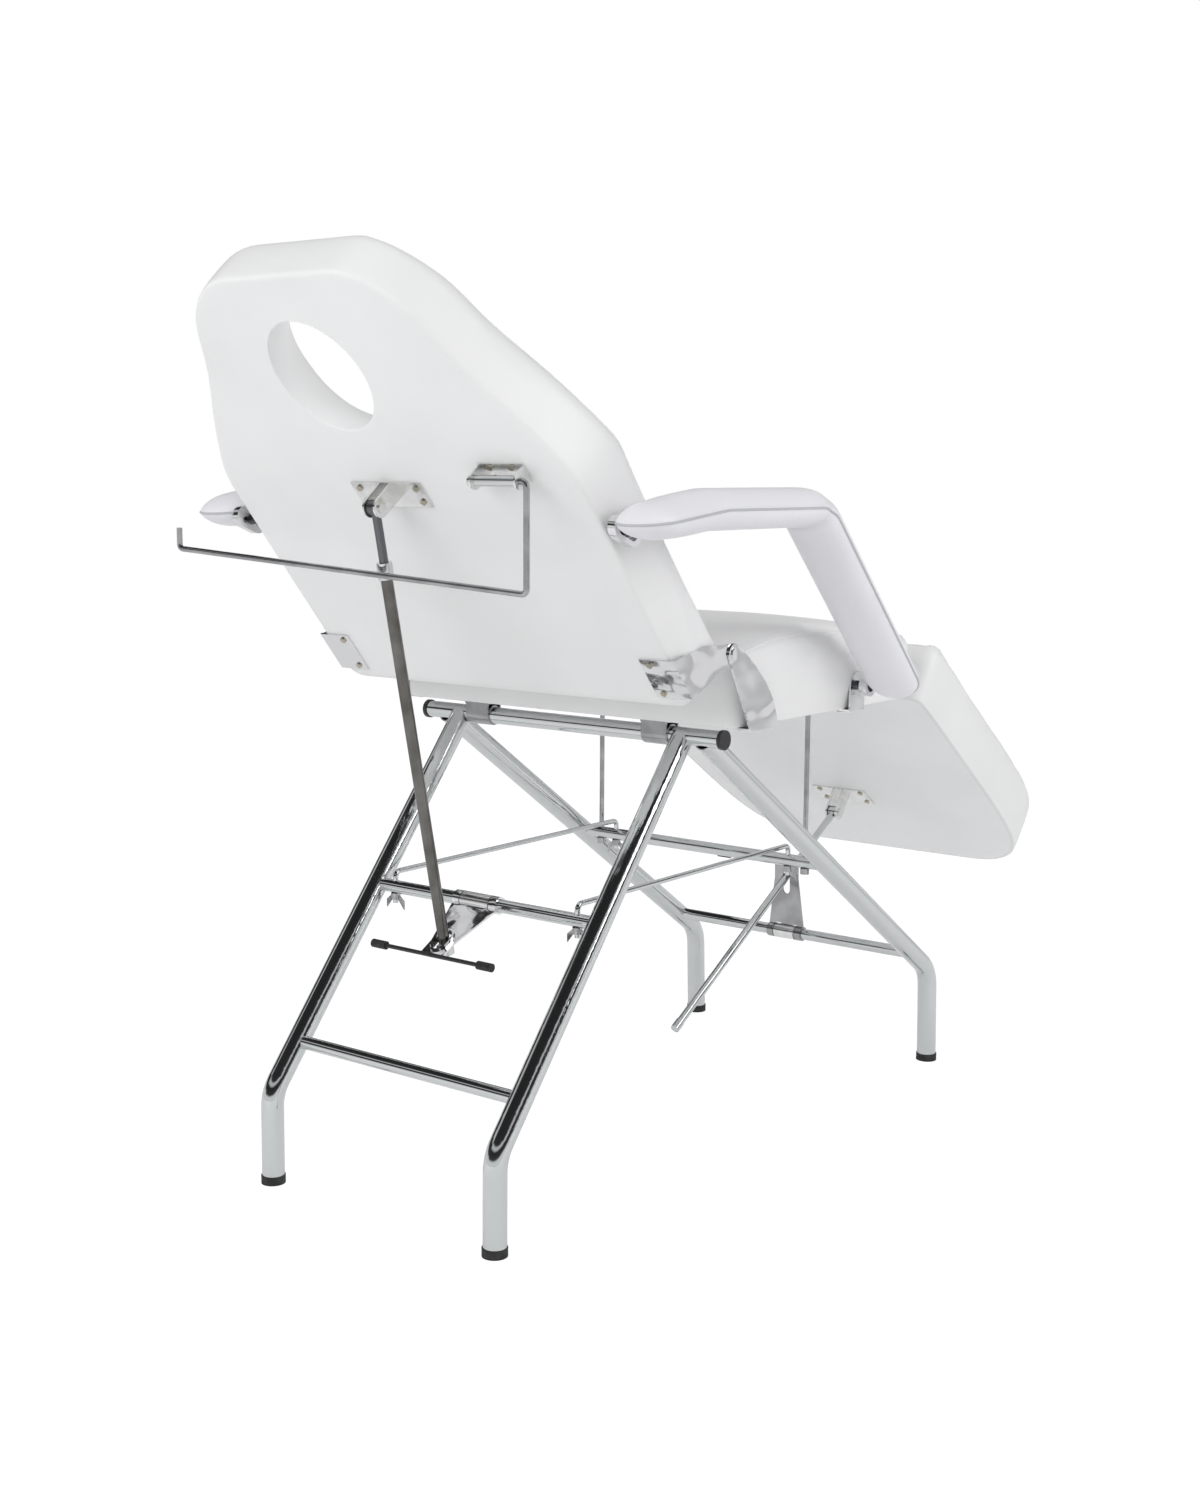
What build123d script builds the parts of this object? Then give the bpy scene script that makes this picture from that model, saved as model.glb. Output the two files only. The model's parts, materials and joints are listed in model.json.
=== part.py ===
from build123d import *
import math
import os

os.makedirs("parts", exist_ok=True)

# Adjustable treatment bed. X is the width, +Y points to the head end, +Z is up.
# The origin is on the floor, midway between the two ends.

# Floor frame
tube_y = 244
tube_z = 630
foot_gap = 3
rear_foot_y = 649
rear_foot = (rear_foot_y, foot_gap)
rear_bend = (648, 131)
rear_top = (tube_y, tube_z)
front_foot_y = -443
front_foot = (front_foot_y, foot_gap)
front_bend = (-437, 160)
front_top_back = 4
front_top_drop = 3
front_top = (tube_y - front_top_back, tube_z - front_top_drop)
leg_radius = 16
leg_wall = 1.5
leg_bend_radius = 58
rear_leg_x = 206
front_leg_x = 240
tube_radius = 12.5
tube_half = 271
cap_radius = 14
cap_depth = 6
foot_radius = 17.2
foot_height = 12

# Crossbars, by the height of each axis on its legs
bar_radius = 9.5
bar_wall = 1.5
rear_lower_z = 194
rear_middle_z = 395
front_lower_z = 198
front_upper_z = 394

# Tie rods and wing nuts
rod_radius = 4
tie_x = 169
tie_bend_radius = 9
tie_rise = 22
tie_drop = 24
wing_hub_radius = 7
wing_hub_height = 9
wing_thickness = 2.5
wing_span = 17
wing_fall = 14
wing_lap = 1
wing_tip_drop = 2

# Seat
board_thickness = 18
seat_bottom = 650
seat_top_edge = 768
seat_crown = 14
seat_half = 308
seat_bulge = 6
seat_rear_y = 254
seat_front_y = -226
cushion_rear_y = 277
cushion_front_y = -219
seat_corner_radius = 22
cushion_corner_radius = 26
rim_radius = 13
hem_radius = 5
dome_share = 1.15
support_x = 200
flange_radius = 15
flange_thickness = 3

# Backrest
hinge_y = 294
hinge_z = 756
back_tilt = 50.6
back_depth = 104
back_proud = 5
back_start = -3
back_end = 692
back_straight = 341
back_bulge = 4.5
back_corner_radius = 24
back_crown = 10
hole_x = 10
hole_u = 546
hole_half_width = 75
hole_half_length = 83
back_end_share = 0.37
shoulder_shares = [(0.997, 0.540), (0.936, 0.617), (0.820, 0.712), (0.665, 0.834), (0.565, 0.926)]

# Leg rest
leg_hinge_y = -235
leg_hinge_z = 646
leg_tilt = 35
leg_gap = seat_bottom - leg_hinge_z
leg_start = 6
leg_end = 625
leg_proud = 6
leg_end_share = 0.494
leg_rest_depth = 106
leg_bulge = 5
leg_crown = 10
leg_corner_radius = 20
leg_side_shares = [(0.987, 0.320), (0.955, 0.672), (0.924, 0.792), (0.834, 0.912), (0.685, 0.979)]

# Struts
work_x = 8
back_pin_u = 363.5
back_pin_w = -140
leg_pin_u = 392.6
leg_pin_w = -37.6
pin_radius = 4
pin_head_radius = 6.8
pin_head = 3
eye_radius = 10
eye_half = 7
back_rod_radius = 6
back_tube_radius = 8
collar_radius = 10.5
collar_start = 72
collar_length = 22
stop_cap_radius = 12
stop_cap_length = 12
stop_cap_gap = 7
tube_end_gap = 2
leg_strut_radius = 6.5
leg_strut_length = 563
leg_cap_radius = 7.5
leg_cap_length = 6

# Release levers
lever_thickness = 3
eye_wall = 3
rear_lever_drop = 30
rear_lever_reach = 84
rear_lever_half = 40
rear_lever_end_half = 20
rear_plate_end = 112
rear_slot = (71, 104)
rear_slot_width = 17
rear_bar_reach = 114.2
front_strut_eye = (-379, 297)
front_lever_half = 34
front_lever_end_half = 23.5
front_plate_end = 120
front_slot = (68, 113)
front_slot_width = 14
front_bar_reach = 122
plate_start = 14.5
bar_half = 107
front_bar_span = (-95, 148)
handle_radius = 3
grip_radius = 6
grip_length = 22
grip_end = 3
clamp_half_rear = 26
clamp_half_front = 20
eye_gap = 1.5
running_gap = 0.05
collar_height = 5
collar_wall = 2.5
collar_gap = 3
lever_neck = 24
tab_lap = 1
clamp_lip_reach = 34
clamp_lip_share = 0.6
clamp_lap = 1
clamp_foot_span = (-4, 20)
clamp_foot_slope = 4

# Armrests
arm_half_width = 43
arm_half_height = 26.5
arm_top_z = 950
arm_head = (553, 938)
arm_flat_y = (449, 201.4)
arm_foot = (-41, 704)
arm_path = [arm_head, (arm_flat_y[0], arm_top_z), (arm_flat_y[1], arm_top_z), arm_foot]
arm_bend_radius = 62
arm_pivot_back = (554, 925)
arm_pivot_seat = (-43, 685)
stud_radius = 5
stud_head_radius = 8
stud_head_height = 4
stud_head_gap = 0.3
stud_head_clearance = 0.5
shoulder_gap = 0.5
slot_gap = 0.3
block_half_height = 15
block_length = 56
slot_travel = 22
shoulder_radius = 7

# Paper roll rod
sleeve_u = 395
sleeve_w = -122
sleeve_span = (-241, -166)
sleeve_radius = 7
sleeve_over = 6
roll_rod_over = 8
roll_bend_radius = 7
roll_drop_z = 848
roll_rise_z = 885
roll_far_reach = 71
roll_knee_x = -250
roll_tip_z = 914

# Plates and fasteners
plate = 2.5
side_gap = 0.4
side_plate = 3
bracket_gap = 1
block_gap = 3.7
block_thickness = 12
block_seat_depth = 10
screw_head_radius = 4.6
screw_head_height = 2
screw_radius = 2
screw_depth = 14


# Places across the width, from the seat outwards
back_half = seat_half + back_proud
leg_half = seat_half + leg_proud
back_end_half = back_half * back_end_share
leg_end_half = leg_half * leg_end_share
roll_far_x = back_half + roll_far_reach
bracket_in = seat_half + seat_bulge + bracket_gap
bracket_x = (bracket_in, bracket_in + side_plate)
leaf_in = back_half + back_bulge + side_gap
leaf_x = (leaf_in, leaf_in + side_plate)
fan_in = leaf_x[1] + side_gap
fan_x = (fan_in, fan_in + side_plate)
block_in = fan_x[1] + block_gap
block_x = (block_in, block_in + block_thickness)
head_x = (block_x[0] + block_x[1]) / 2
arm_x = block_x[1] + arm_half_width - block_seat_depth


def on_leg(low, high, z):
    """Position (y, z) on the straight part of a leg at that height."""
    return (low[0] + (high[0] - low[0]) * (z - low[1]) / (high[1] - low[1]), z)


rear_lower = on_leg(rear_bend, rear_top, rear_lower_z)
rear_middle = on_leg(rear_bend, rear_top, rear_middle_z)
front_lower = on_leg(front_bend, front_top, front_lower_z)
front_upper = on_leg(front_bend, front_top, front_upper_z)

# Reference planes
back_cos = math.cos(math.radians(back_tilt))
back_sin = math.sin(math.radians(back_tilt))
leg_cos = math.cos(math.radians(leg_tilt))
leg_sin = math.sin(math.radians(leg_tilt))
back_plane = Plane(origin=(0, hinge_y, hinge_z), x_dir=(1, 0, 0), z_dir=(0, -back_sin, back_cos))
leg_plane = Plane(origin=(0, leg_hinge_y, leg_hinge_z), x_dir=(-1, 0, 0), z_dir=(0, -leg_sin, leg_cos))


def back_side(x):
    """Plane across the width at x, with u up the backrest and w through it."""
    return Plane(origin=(x, hinge_y, hinge_z), x_dir=(0, back_cos, back_sin), z_dir=(1, 0, 0))


def leg_side(x):
    """Plane across the width at x, with u down the leg rest and w through it."""
    return Plane(origin=(x, leg_hinge_y, leg_hinge_z), x_dir=(0, -leg_cos, -leg_sin), z_dir=(-1, 0, 0))


def back_point(u, w):
    """Position (y, z) of a backrest point."""
    return (hinge_y + u * back_cos - w * back_sin, hinge_z + u * back_sin + w * back_cos)


def leg_point(u, w):
    """Position (y, z) of a leg rest point."""
    return (leg_hinge_y - u * leg_cos - w * leg_sin, leg_hinge_z - u * leg_sin + w * leg_cos)


def disc(plane, point, radius, start, end, mode=Mode.ADD):
    """Round bar square to the plane at the point, from start to end."""
    with BuildSketch(plane.offset(start)) as shape:
        with Locations(point):
            Circle(radius)
    extrude(shape.sketch, amount=end - start, mode=mode)


def panel(plane, points, start, end, mode=Mode.ADD):
    """Flat shape with these corners, from start to end above the plane."""
    with BuildSketch(plane.offset(start)) as shape:
        with BuildLine():
            Polyline(*points, close=True)
        make_face()
    extrude(shape.sketch, amount=end - start, mode=mode)


def box(x_span, y_span, z_span, mode=Mode.ADD):
    """Square block between the given limits."""
    with BuildSketch(Plane.XY.offset(z_span[0])) as shape:
        with Locations(((x_span[0] + x_span[1]) / 2, (y_span[0] + y_span[1]) / 2)):
            Rectangle(abs(x_span[1] - x_span[0]), abs(y_span[1] - y_span[0]))
    extrude(shape.sketch, amount=z_span[1] - z_span[0], mode=mode)


def bent_bar(plane, points, radius, bend, bore=0):
    """Round bar or tube swept along points that are rounded at each bend."""
    with BuildLine(plane) as path:
        FilletPolyline(*points, radius=bend)
    start = path.wire()
    with BuildSketch(Plane(origin=start @ 0, z_dir=start % 0)) as shape:
        Circle(radius)
        if bore > 0:
            Circle(bore, mode=Mode.SUBTRACT)
    sweep(shape.sketch, path=start)


def leg_tube(x, points):
    """Leg with its upper end shaped to the top tube."""
    bent_bar(Plane.YZ.offset(x), points, leg_radius, leg_bend_radius, leg_radius - leg_wall)
    disc(Plane.YZ, (tube_y, tube_z), tube_radius, x - leg_radius, x + leg_radius, Mode.SUBTRACT)


def inner_hole(side, x, point):
    """Hole for a crossbar through the inner wall of a leg."""
    disc(Plane.YZ, point, bar_radius, side * (x - leg_radius), side * x, Mode.SUBTRACT)


def cross_tube(point, half, drilled):
    """Crossbar between two legs, drilled for the rods that pass through it."""
    disc(Plane.YZ, point, bar_radius, -half, half)
    disc(Plane.YZ, point, bar_radius - bar_wall, -half, half, Mode.SUBTRACT)
    for x in drilled:
        reach = bar_radius + bar_wall
        disc(Plane.XY, (x, point[0]), rod_radius, point[1] - reach, point[1] + reach, Mode.SUBTRACT)


def screws(plane, points, face, into):
    """Round head screws on a face, with their shanks going into the wood."""
    for point in points:
        disc(plane, point, screw_head_radius, face, face - into * screw_head_height)
        disc(plane, point, screw_radius, face, face + into * screw_depth)


def screw_holes(plane, points, face, into):
    """Holes for the shanks of the screws."""
    for point in points:
        disc(plane, point, screw_radius, face, face + into * screw_depth, Mode.SUBTRACT)


def dome(plane, half_width, rise, edge, reach):
    """Cut a block to a crowned top that rises from its edge to the middle."""
    wide = half_width * dome_share
    low = edge - rise * (dome_share * dome_share - 1)
    with BuildSketch(plane) as shape:
        with BuildLine():
            ThreePointArc((-wide, low), (0, edge + rise), (wide, low))
            Line((wide, low), (wide, -reach))
            Line((wide, -reach), (-wide, -reach))
            Line((-wide, -reach), (-wide, low))
        make_face()
    extrude(shape.sketch, amount=reach * 2, both=True, mode=Mode.INTERSECT)


def back_outline(grow):
    """Outline of the backrest, wider by grow all round."""
    half = back_half + grow
    low = back_start - grow
    high = back_end + grow
    corner = back_corner_radius
    with BuildLine() as edge:
        Line((0, low), (half - corner, low))
        RadiusArc((half - corner, low), (half, low + corner), -corner)
        Line((half, low + corner), (half, back_straight))
        points = [(half, back_straight)]
        for share in shoulder_shares:
            points.append((share[0] * back_half + grow, share[1] * back_end))
        points.append((back_end_half, high))
        Spline(*points, tangents=[(0, 1), (-1, 0)])
        Line((back_end_half, high), (0, high))
        mirror(about=Plane.YZ)
    make_face(edge.edges())


def leg_outline(grow):
    """Outline of the leg rest, wider by grow all round."""
    half = leg_half + grow
    low = leg_start - grow
    high = leg_end + grow
    corner = leg_corner_radius
    with BuildLine() as edge:
        Line((0, low), (half - corner, low))
        RadiusArc((half - corner, low), (half, low + corner), -corner)
        points = [(half, low + corner)]
        for share in leg_side_shares:
            points.append((share[0] * leg_half + grow, share[1] * leg_end))
        points.append((leg_end_half, high))
        Spline(*points, tangents=[(0, 1), (-1, 0)])
        Line((leg_end_half, high), (0, high))
        mirror(about=Plane.YZ)
    make_face(edge.edges())


# Floor frame: four bent legs on one top tube
rear_points = [rear_foot, rear_bend, rear_top]
front_points = [front_foot, front_bend, front_top]

with BuildPart() as rear_leg_left:
    leg_tube(-rear_leg_x, rear_points)
    inner_hole(-1, rear_leg_x, rear_lower)
    inner_hole(-1, rear_leg_x, rear_middle)
with BuildPart() as rear_leg_right:
    leg_tube(rear_leg_x, rear_points)
    inner_hole(1, rear_leg_x, rear_lower)
    inner_hole(1, rear_leg_x, rear_middle)
with BuildPart() as front_leg_left:
    leg_tube(-front_leg_x, front_points)
    inner_hole(-1, front_leg_x, front_lower)
    inner_hole(-1, front_leg_x, front_upper)
with BuildPart() as front_leg_right:
    leg_tube(front_leg_x, front_points)
    inner_hole(1, front_leg_x, front_lower)
    inner_hole(1, front_leg_x, front_upper)

with BuildPart() as top_tube:
    disc(Plane.YZ, (tube_y, tube_z), tube_radius, -tube_half, tube_half)
    disc(Plane.YZ, (tube_y, tube_z), tube_radius - bar_wall, -tube_half, tube_half, Mode.SUBTRACT)
with BuildPart() as top_tube_caps:
    for side in (-1, 1):
        start = side * tube_half
        disc(Plane.YZ, (tube_y, tube_z), cap_radius, start, start + side * cap_depth)
        disc(Plane.YZ, (tube_y, tube_z), tube_radius - bar_wall, start, start - side * cap_depth)

with BuildPart() as foot_caps:
    for x, foot, bend in ((rear_leg_x, rear_foot, rear_bend), (front_leg_x, front_foot, front_bend)):
        for side in (-1, 1):
            rise = (0, bend[0] - foot[0], bend[1] - foot[1])
            seat = Plane(origin=(side * x, foot[0], foot[1]), x_dir=(1, 0, 0), z_dir=rise)
            disc(Plane.XY, (side * x, foot[0]), foot_radius, 0, foot_height)
            disc(seat, (0, 0), leg_radius, 0, foot_height * 2, Mode.SUBTRACT)
            disc(seat, (0, 0), leg_radius - leg_wall, 0, foot_height)

with BuildPart() as rear_lower_crossbar:
    cross_tube(rear_lower, rear_leg_x, [])
with BuildPart() as rear_middle_crossbar:
    cross_tube(rear_middle, rear_leg_x, [-tie_x, tie_x])
with BuildPart() as front_lower_crossbar:
    cross_tube(front_lower, front_leg_x, [])
with BuildPart() as front_upper_crossbar:
    cross_tube(front_upper, front_leg_x, [-support_x, -tie_x, tie_x, support_x])

# Tie rods over the crossbars, with a wing nut under each bent end
tie_top = rear_middle[1] + tie_rise
with BuildPart() as tie_rods:
    for side in (-1, 1):
        rod_points = [
            (rear_middle[0], rear_middle[1] - tie_drop),
            (rear_middle[0], tie_top),
            (front_upper[0], tie_top),
            (front_upper[0], front_upper[1] - tie_drop),
        ]
        bent_bar(Plane.YZ.offset(side * tie_x), rod_points, rod_radius, tie_bend_radius)

with BuildPart() as wing_nuts:
    for end in (rear_middle, front_upper):
        top = end[1] - bar_radius
        low = top - wing_hub_height
        for side in (-1, 1):
            spot = (side * tie_x, end[0])
            disc(Plane.XY, spot, wing_hub_radius, low, top)
            for hand in (-1, 1):
                inner = spot[0] + hand * (rod_radius + wing_lap)
                outer = spot[0] + hand * wing_span
                wing = [(inner, low + wing_lap), (inner, top - wing_lap), (outer, low - wing_tip_drop),
                        (outer, low - wing_fall)]
                panel(Plane.XZ, wing, -end[0] - wing_thickness / 2, -end[0] + wing_thickness / 2)
            disc(Plane.XY, spot, rod_radius, low - wing_fall, top, Mode.SUBTRACT)

with BuildPart() as seat_support_rods:
    for side in (-1, 1):
        spot = (side * support_x, front_upper[0])
        low = front_upper[1] - bar_radius - wing_hub_height
        disc(Plane.XY, spot, rod_radius, low, seat_bottom)
        disc(Plane.XY, spot, flange_radius, seat_bottom - flange_thickness, seat_bottom)
        disc(Plane.XY, spot, wing_hub_radius, low, front_upper[1] - bar_radius)

# Saddles that hold the seat on the top tube
saddle_x = 165
saddle_half = 22
saddle_wall = 2.5
saddle_reach = 34
saddle_bolt_y = 27
saddle_bolt_shift = 12
bolt_head_radius = 5.6
saddle_spots = []
for side in (-1, 1):
    for hand in (-1, 1):
        saddle_spots.append((side * saddle_x + hand * saddle_bolt_shift, tube_y - saddle_bolt_y))
with BuildPart() as tube_saddles:
    for side in (-1, 1):
        start = side * saddle_x - saddle_half
        end = side * saddle_x + saddle_half
        outer = tube_radius + saddle_wall
        disc(Plane.YZ, (tube_y, tube_z), outer, start, end)
        y_span = (tube_y - saddle_reach, tube_y + saddle_reach / 2)
        box((start, end), y_span, (seat_bottom - saddle_wall, seat_bottom))
        y_span = (tube_y - outer, tube_y - tube_radius)
        box((start, end), y_span, (tube_z, seat_bottom - saddle_wall))
        y_span = (tube_y + tube_radius, tube_y + outer)
        box((start, end), y_span, (tube_z, seat_bottom - saddle_wall))
    disc(Plane.YZ, (tube_y, tube_z), tube_radius, -tube_half, tube_half, Mode.SUBTRACT)
    for spot in saddle_spots:
        disc(Plane.XY, spot, screw_radius, seat_bottom - saddle_wall, seat_bottom, Mode.SUBTRACT)
with BuildPart() as saddle_bolts:
    for spot in saddle_spots:
        disc(Plane.XY, spot, screw_radius, seat_bottom - saddle_wall, seat_bottom + screw_depth)
        with BuildSketch(Plane.XY.offset(seat_bottom - saddle_wall)):
            with Locations(spot):
                RegularPolygon(radius=bolt_head_radius, side_count=6)
        extrude(amount=-screw_head_height * 2)

# Seat hinge plates: a fan on each side and a flange under the board
flange_y = (182, 252)
flange_reach = 24
flange_screw_inset = 10
flange_screw_end = 15
fan_shares = [(0.134, 0.340), (0.304, 0.575), (0.545, 0.811), (0.911, 1.104), (1.107, 0.925)]
fan_points = [(flange_y[1], seat_bottom - plate), (flange_y[0], seat_bottom - plate)]
for share in fan_shares:
    fan_points.append((flange_y[0] + share[0] * (hinge_y - flange_y[0]),
                       seat_bottom + share[1] * (hinge_z - seat_bottom)))
pivot_eye_radius = 14
pivot_radius = 5
fan_screws = []
for y in (flange_y[1] - flange_screw_end, flange_y[0] + flange_screw_end):
    for side in (1, -1):
        fan_screws.append((side * (seat_half - flange_screw_inset), y))
with BuildPart() as seat_hinge_plates:
    panel(Plane.YZ, fan_points, fan_x[0], fan_x[1])
    disc(Plane.YZ, (hinge_y, hinge_z), pivot_eye_radius, fan_x[0], fan_x[1])
    disc(Plane.YZ, (hinge_y, hinge_z), pivot_radius, fan_x[0], fan_x[1], Mode.SUBTRACT)
    box((seat_half - flange_reach, fan_x[1]), flange_y, (seat_bottom - plate, seat_bottom))
    screw_holes(Plane.XY, [fan_screws[0], fan_screws[2]], seat_bottom - plate, 1)
    mirror(about=Plane.YZ)
rivet_head_radius = 9
rivet_head = 2
rivet_lip = 2
rivet_gap = 0.3
with BuildPart() as hinge_rivets:
    disc(Plane.YZ, (hinge_y, hinge_z), pivot_radius, leaf_x[0] - rivet_gap, fan_x[1])
    disc(Plane.YZ, (hinge_y, hinge_z), rivet_head_radius, fan_x[1], fan_x[1] + rivet_head)
    disc(Plane.YZ, (hinge_y, hinge_z), pivot_radius + rivet_lip, leaf_x[0] - rivet_head,
         leaf_x[0] - rivet_gap)
    mirror(about=Plane.YZ)

# Brackets and studs that carry the lower end of each armrest
bracket_half = 20
bracket_screw_inset = 12
bracket_screw_shift = 12
bracket_screws = []
for side in (-1, 1):
    for hand in (-1, 1):
        bracket_screws.append((side * (seat_half - bracket_screw_inset),
                               arm_pivot_seat[0] + hand * bracket_screw_shift))
with BuildPart() as armrest_seat_brackets:
    y_span = (arm_pivot_seat[0] - bracket_half, arm_pivot_seat[0] + bracket_half)
    box((bracket_x[0], bracket_x[1]), y_span, (seat_bottom - plate, arm_pivot_seat[1]))
    disc(Plane.YZ, arm_pivot_seat, bracket_half, bracket_x[0], bracket_x[1])
    box((seat_half - flange_reach, bracket_x[1]), y_span, (seat_bottom - plate, seat_bottom))
    screw_holes(Plane.XY, bracket_screws[2:], seat_bottom - plate, 1)
    disc(Plane.YZ, arm_pivot_seat, stud_radius, bracket_x[0], bracket_x[1], Mode.SUBTRACT)
    mirror(about=Plane.YZ)
with BuildPart() as armrest_seat_studs:
    disc(Plane.YZ, arm_pivot_seat, stud_radius, bracket_x[0], head_x + stud_head_height)
    disc(Plane.YZ, arm_pivot_seat, shoulder_radius, bracket_x[1], block_x[0] - shoulder_gap)
    disc(Plane.YZ, arm_pivot_seat, stud_head_radius, head_x + stud_head_gap, head_x + stud_head_height)
    mirror(about=Plane.YZ)

# Butt hinges between the seat and the leg rest
hinge_x = 180
hinge_centres = [-hinge_x, hinge_x]
knuckle_radius = 4
hinge_pin_radius = 2
hinge_half = 38
knuckle_half = 13
hinge_leaf = 2
leaf_reach = 34
knuckle_lap = 1
knuckle_gap = 0.5
hinge_screw_shift = 24
hinge_screw_reach = 24
hinge_fixed_screws = []
for x in hinge_centres:
    for hand in (-1, 1):
        hinge_fixed_screws.append((x + hand * hinge_screw_shift, leg_hinge_y + hinge_screw_reach))
with BuildPart() as leg_hinge_fixed_leaves:
    for x in hinge_centres:
        y_span = (leg_hinge_y + knuckle_radius + knuckle_lap, leg_hinge_y + leaf_reach)
        box((x - hinge_half, x + hinge_half), y_span, (seat_bottom - hinge_leaf, seat_bottom))
        y_span = (leg_hinge_y, leg_hinge_y + knuckle_radius + knuckle_lap)
        box((x - knuckle_half, x + knuckle_half), y_span, (seat_bottom - hinge_leaf, seat_bottom))
        disc(Plane.YZ, (leg_hinge_y, leg_hinge_z), knuckle_radius, x - knuckle_half, x + knuckle_half)
        disc(Plane.YZ, (leg_hinge_y, leg_hinge_z), hinge_pin_radius, x - hinge_half, x + hinge_half,
             Mode.SUBTRACT)
    screw_holes(Plane.XY, hinge_fixed_screws, seat_bottom - hinge_leaf, 1)
with BuildPart() as leg_hinge_pins:
    for x in hinge_centres:
        disc(Plane.YZ, (leg_hinge_y, leg_hinge_z), hinge_pin_radius, x - hinge_half, x + hinge_half)
with BuildPart() as seat_screws:
    screws(Plane.XY, fan_screws, seat_bottom - plate, 1)
    screws(Plane.XY, bracket_screws, seat_bottom - plate, 1)
    screws(Plane.XY, hinge_fixed_screws, seat_bottom - hinge_leaf, 1)

# Seat board and cushion
with BuildPart() as seat_board:
    with BuildSketch(Plane.XY.offset(seat_bottom)):
        with Locations((0, (seat_rear_y + seat_front_y) / 2)):
            RectangleRounded(seat_half * 2, seat_rear_y - seat_front_y, seat_corner_radius)
    extrude(amount=board_thickness)
    screw_holes(Plane.XY, saddle_spots, seat_bottom, 1)
    for spots, sheet in ((fan_screws, plate), (bracket_screws, plate), (hinge_fixed_screws, hinge_leaf)):
        screw_holes(Plane.XY, spots, seat_bottom - sheet, 1)

with BuildPart() as seat_cushion:
    cushion_y = (cushion_rear_y + cushion_front_y) / 2
    cushion_length = cushion_rear_y - cushion_front_y
    with BuildSketch(Plane.XY.offset(seat_bottom + board_thickness)):
        with Locations((0, cushion_y)):
            RectangleRounded((seat_half + seat_bulge) * 2, cushion_length, cushion_corner_radius)
    extrude(amount=seat_top_edge + seat_crown - seat_bottom)
    dome(Plane.XZ.offset(-cushion_y), seat_half + seat_bulge, seat_crown, seat_top_edge, seat_top_edge)
    fillet(seat_cushion.faces().sort_by(Axis.Z)[-1].edges(), rim_radius)
    fillet(seat_cushion.faces().sort_by(Axis.Z)[0].edges(), hem_radius)

# Backrest board, cushion and fittings
leaf_u = (17, 86)
leaf_flat_reach = 48
leaf_screw_inset = 34
leaf_screw_end = 9
back_hinge_screws = []
for side in (1, -1):
    for u in (leaf_u[0] + leaf_screw_end, leaf_u[1] - leaf_screw_end):
        back_hinge_screws.append((side * (back_half - leaf_screw_inset), u))
back_bracket_u = (337, 377)
back_bracket_half = 62
back_screw_shift = 50
back_screw_end = 9
back_bracket_screws = []
for hand in (-1, 1):
    for u in (back_bracket_u[0] + back_screw_end, back_bracket_u[1] - back_screw_end):
        back_bracket_screws.append((work_x + hand * back_screw_shift, u))
roll_plate_half = 14
roll_screw_half = 9
roll_screw_inset = 20
roll_plate_u = (sleeve_u - roll_plate_half, sleeve_u + roll_plate_half)
roll_screws = []
for x in (sleeve_span[0] + roll_screw_inset, sleeve_span[1] - roll_screw_inset):
    for u in (sleeve_u - roll_screw_half, sleeve_u + roll_screw_half):
        roll_screws.append((x, u))
back_face = -back_depth
board_face = -back_depth + board_thickness
stud_uw = ((arm_pivot_back[0] - hinge_y) * back_cos + (arm_pivot_back[1] - hinge_z) * back_sin,
           (arm_pivot_back[1] - hinge_z) * back_cos - (arm_pivot_back[0] - hinge_y) * back_sin)
stud_depth = 30

with BuildPart() as backrest_board:
    with BuildSketch(back_plane.offset(back_face)):
        back_outline(0)
        with Locations((hole_x, hole_u)):
            Ellipse(hole_half_width, hole_half_length, mode=Mode.SUBTRACT)
    extrude(amount=board_thickness)
    screw_holes(back_plane, back_hinge_screws, back_face - plate, 1)
    screw_holes(back_plane, back_bracket_screws, back_face - plate, 1)
    screw_holes(back_plane, roll_screws, back_face - plate, 1)
    for side in (-1, 1):
        start = side * (back_half - stud_depth)
        disc(back_side(0), stud_uw, stud_radius, start, side * back_half, Mode.SUBTRACT)

with BuildPart() as backrest_cushion:
    with BuildSketch(back_plane.offset(board_face)):
        back_outline(back_bulge)
    extrude(amount=-board_face + back_crown)
    crown_plane = Plane(origin=(0, hinge_y, hinge_z), x_dir=(1, 0, 0), z_dir=(0, -back_cos, -back_sin))
    dome(crown_plane, back_half + back_bulge, back_crown, 0, back_end)
    front = backrest_cushion.faces().sort_by(Axis((0, 0, 0), (0, -back_sin, back_cos)))[-1]
    fillet(front.edges(), rim_radius)
    rear = backrest_cushion.faces().sort_by(Axis((0, 0, 0), (0, -back_sin, back_cos)))[0]
    fillet(rear.edges(), hem_radius)
    with BuildSketch(back_plane.offset(board_face)):
        with Locations((hole_x, hole_u)):
            Ellipse(hole_half_width, hole_half_length)
    extrude(amount=back_depth + back_crown, mode=Mode.SUBTRACT)

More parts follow.
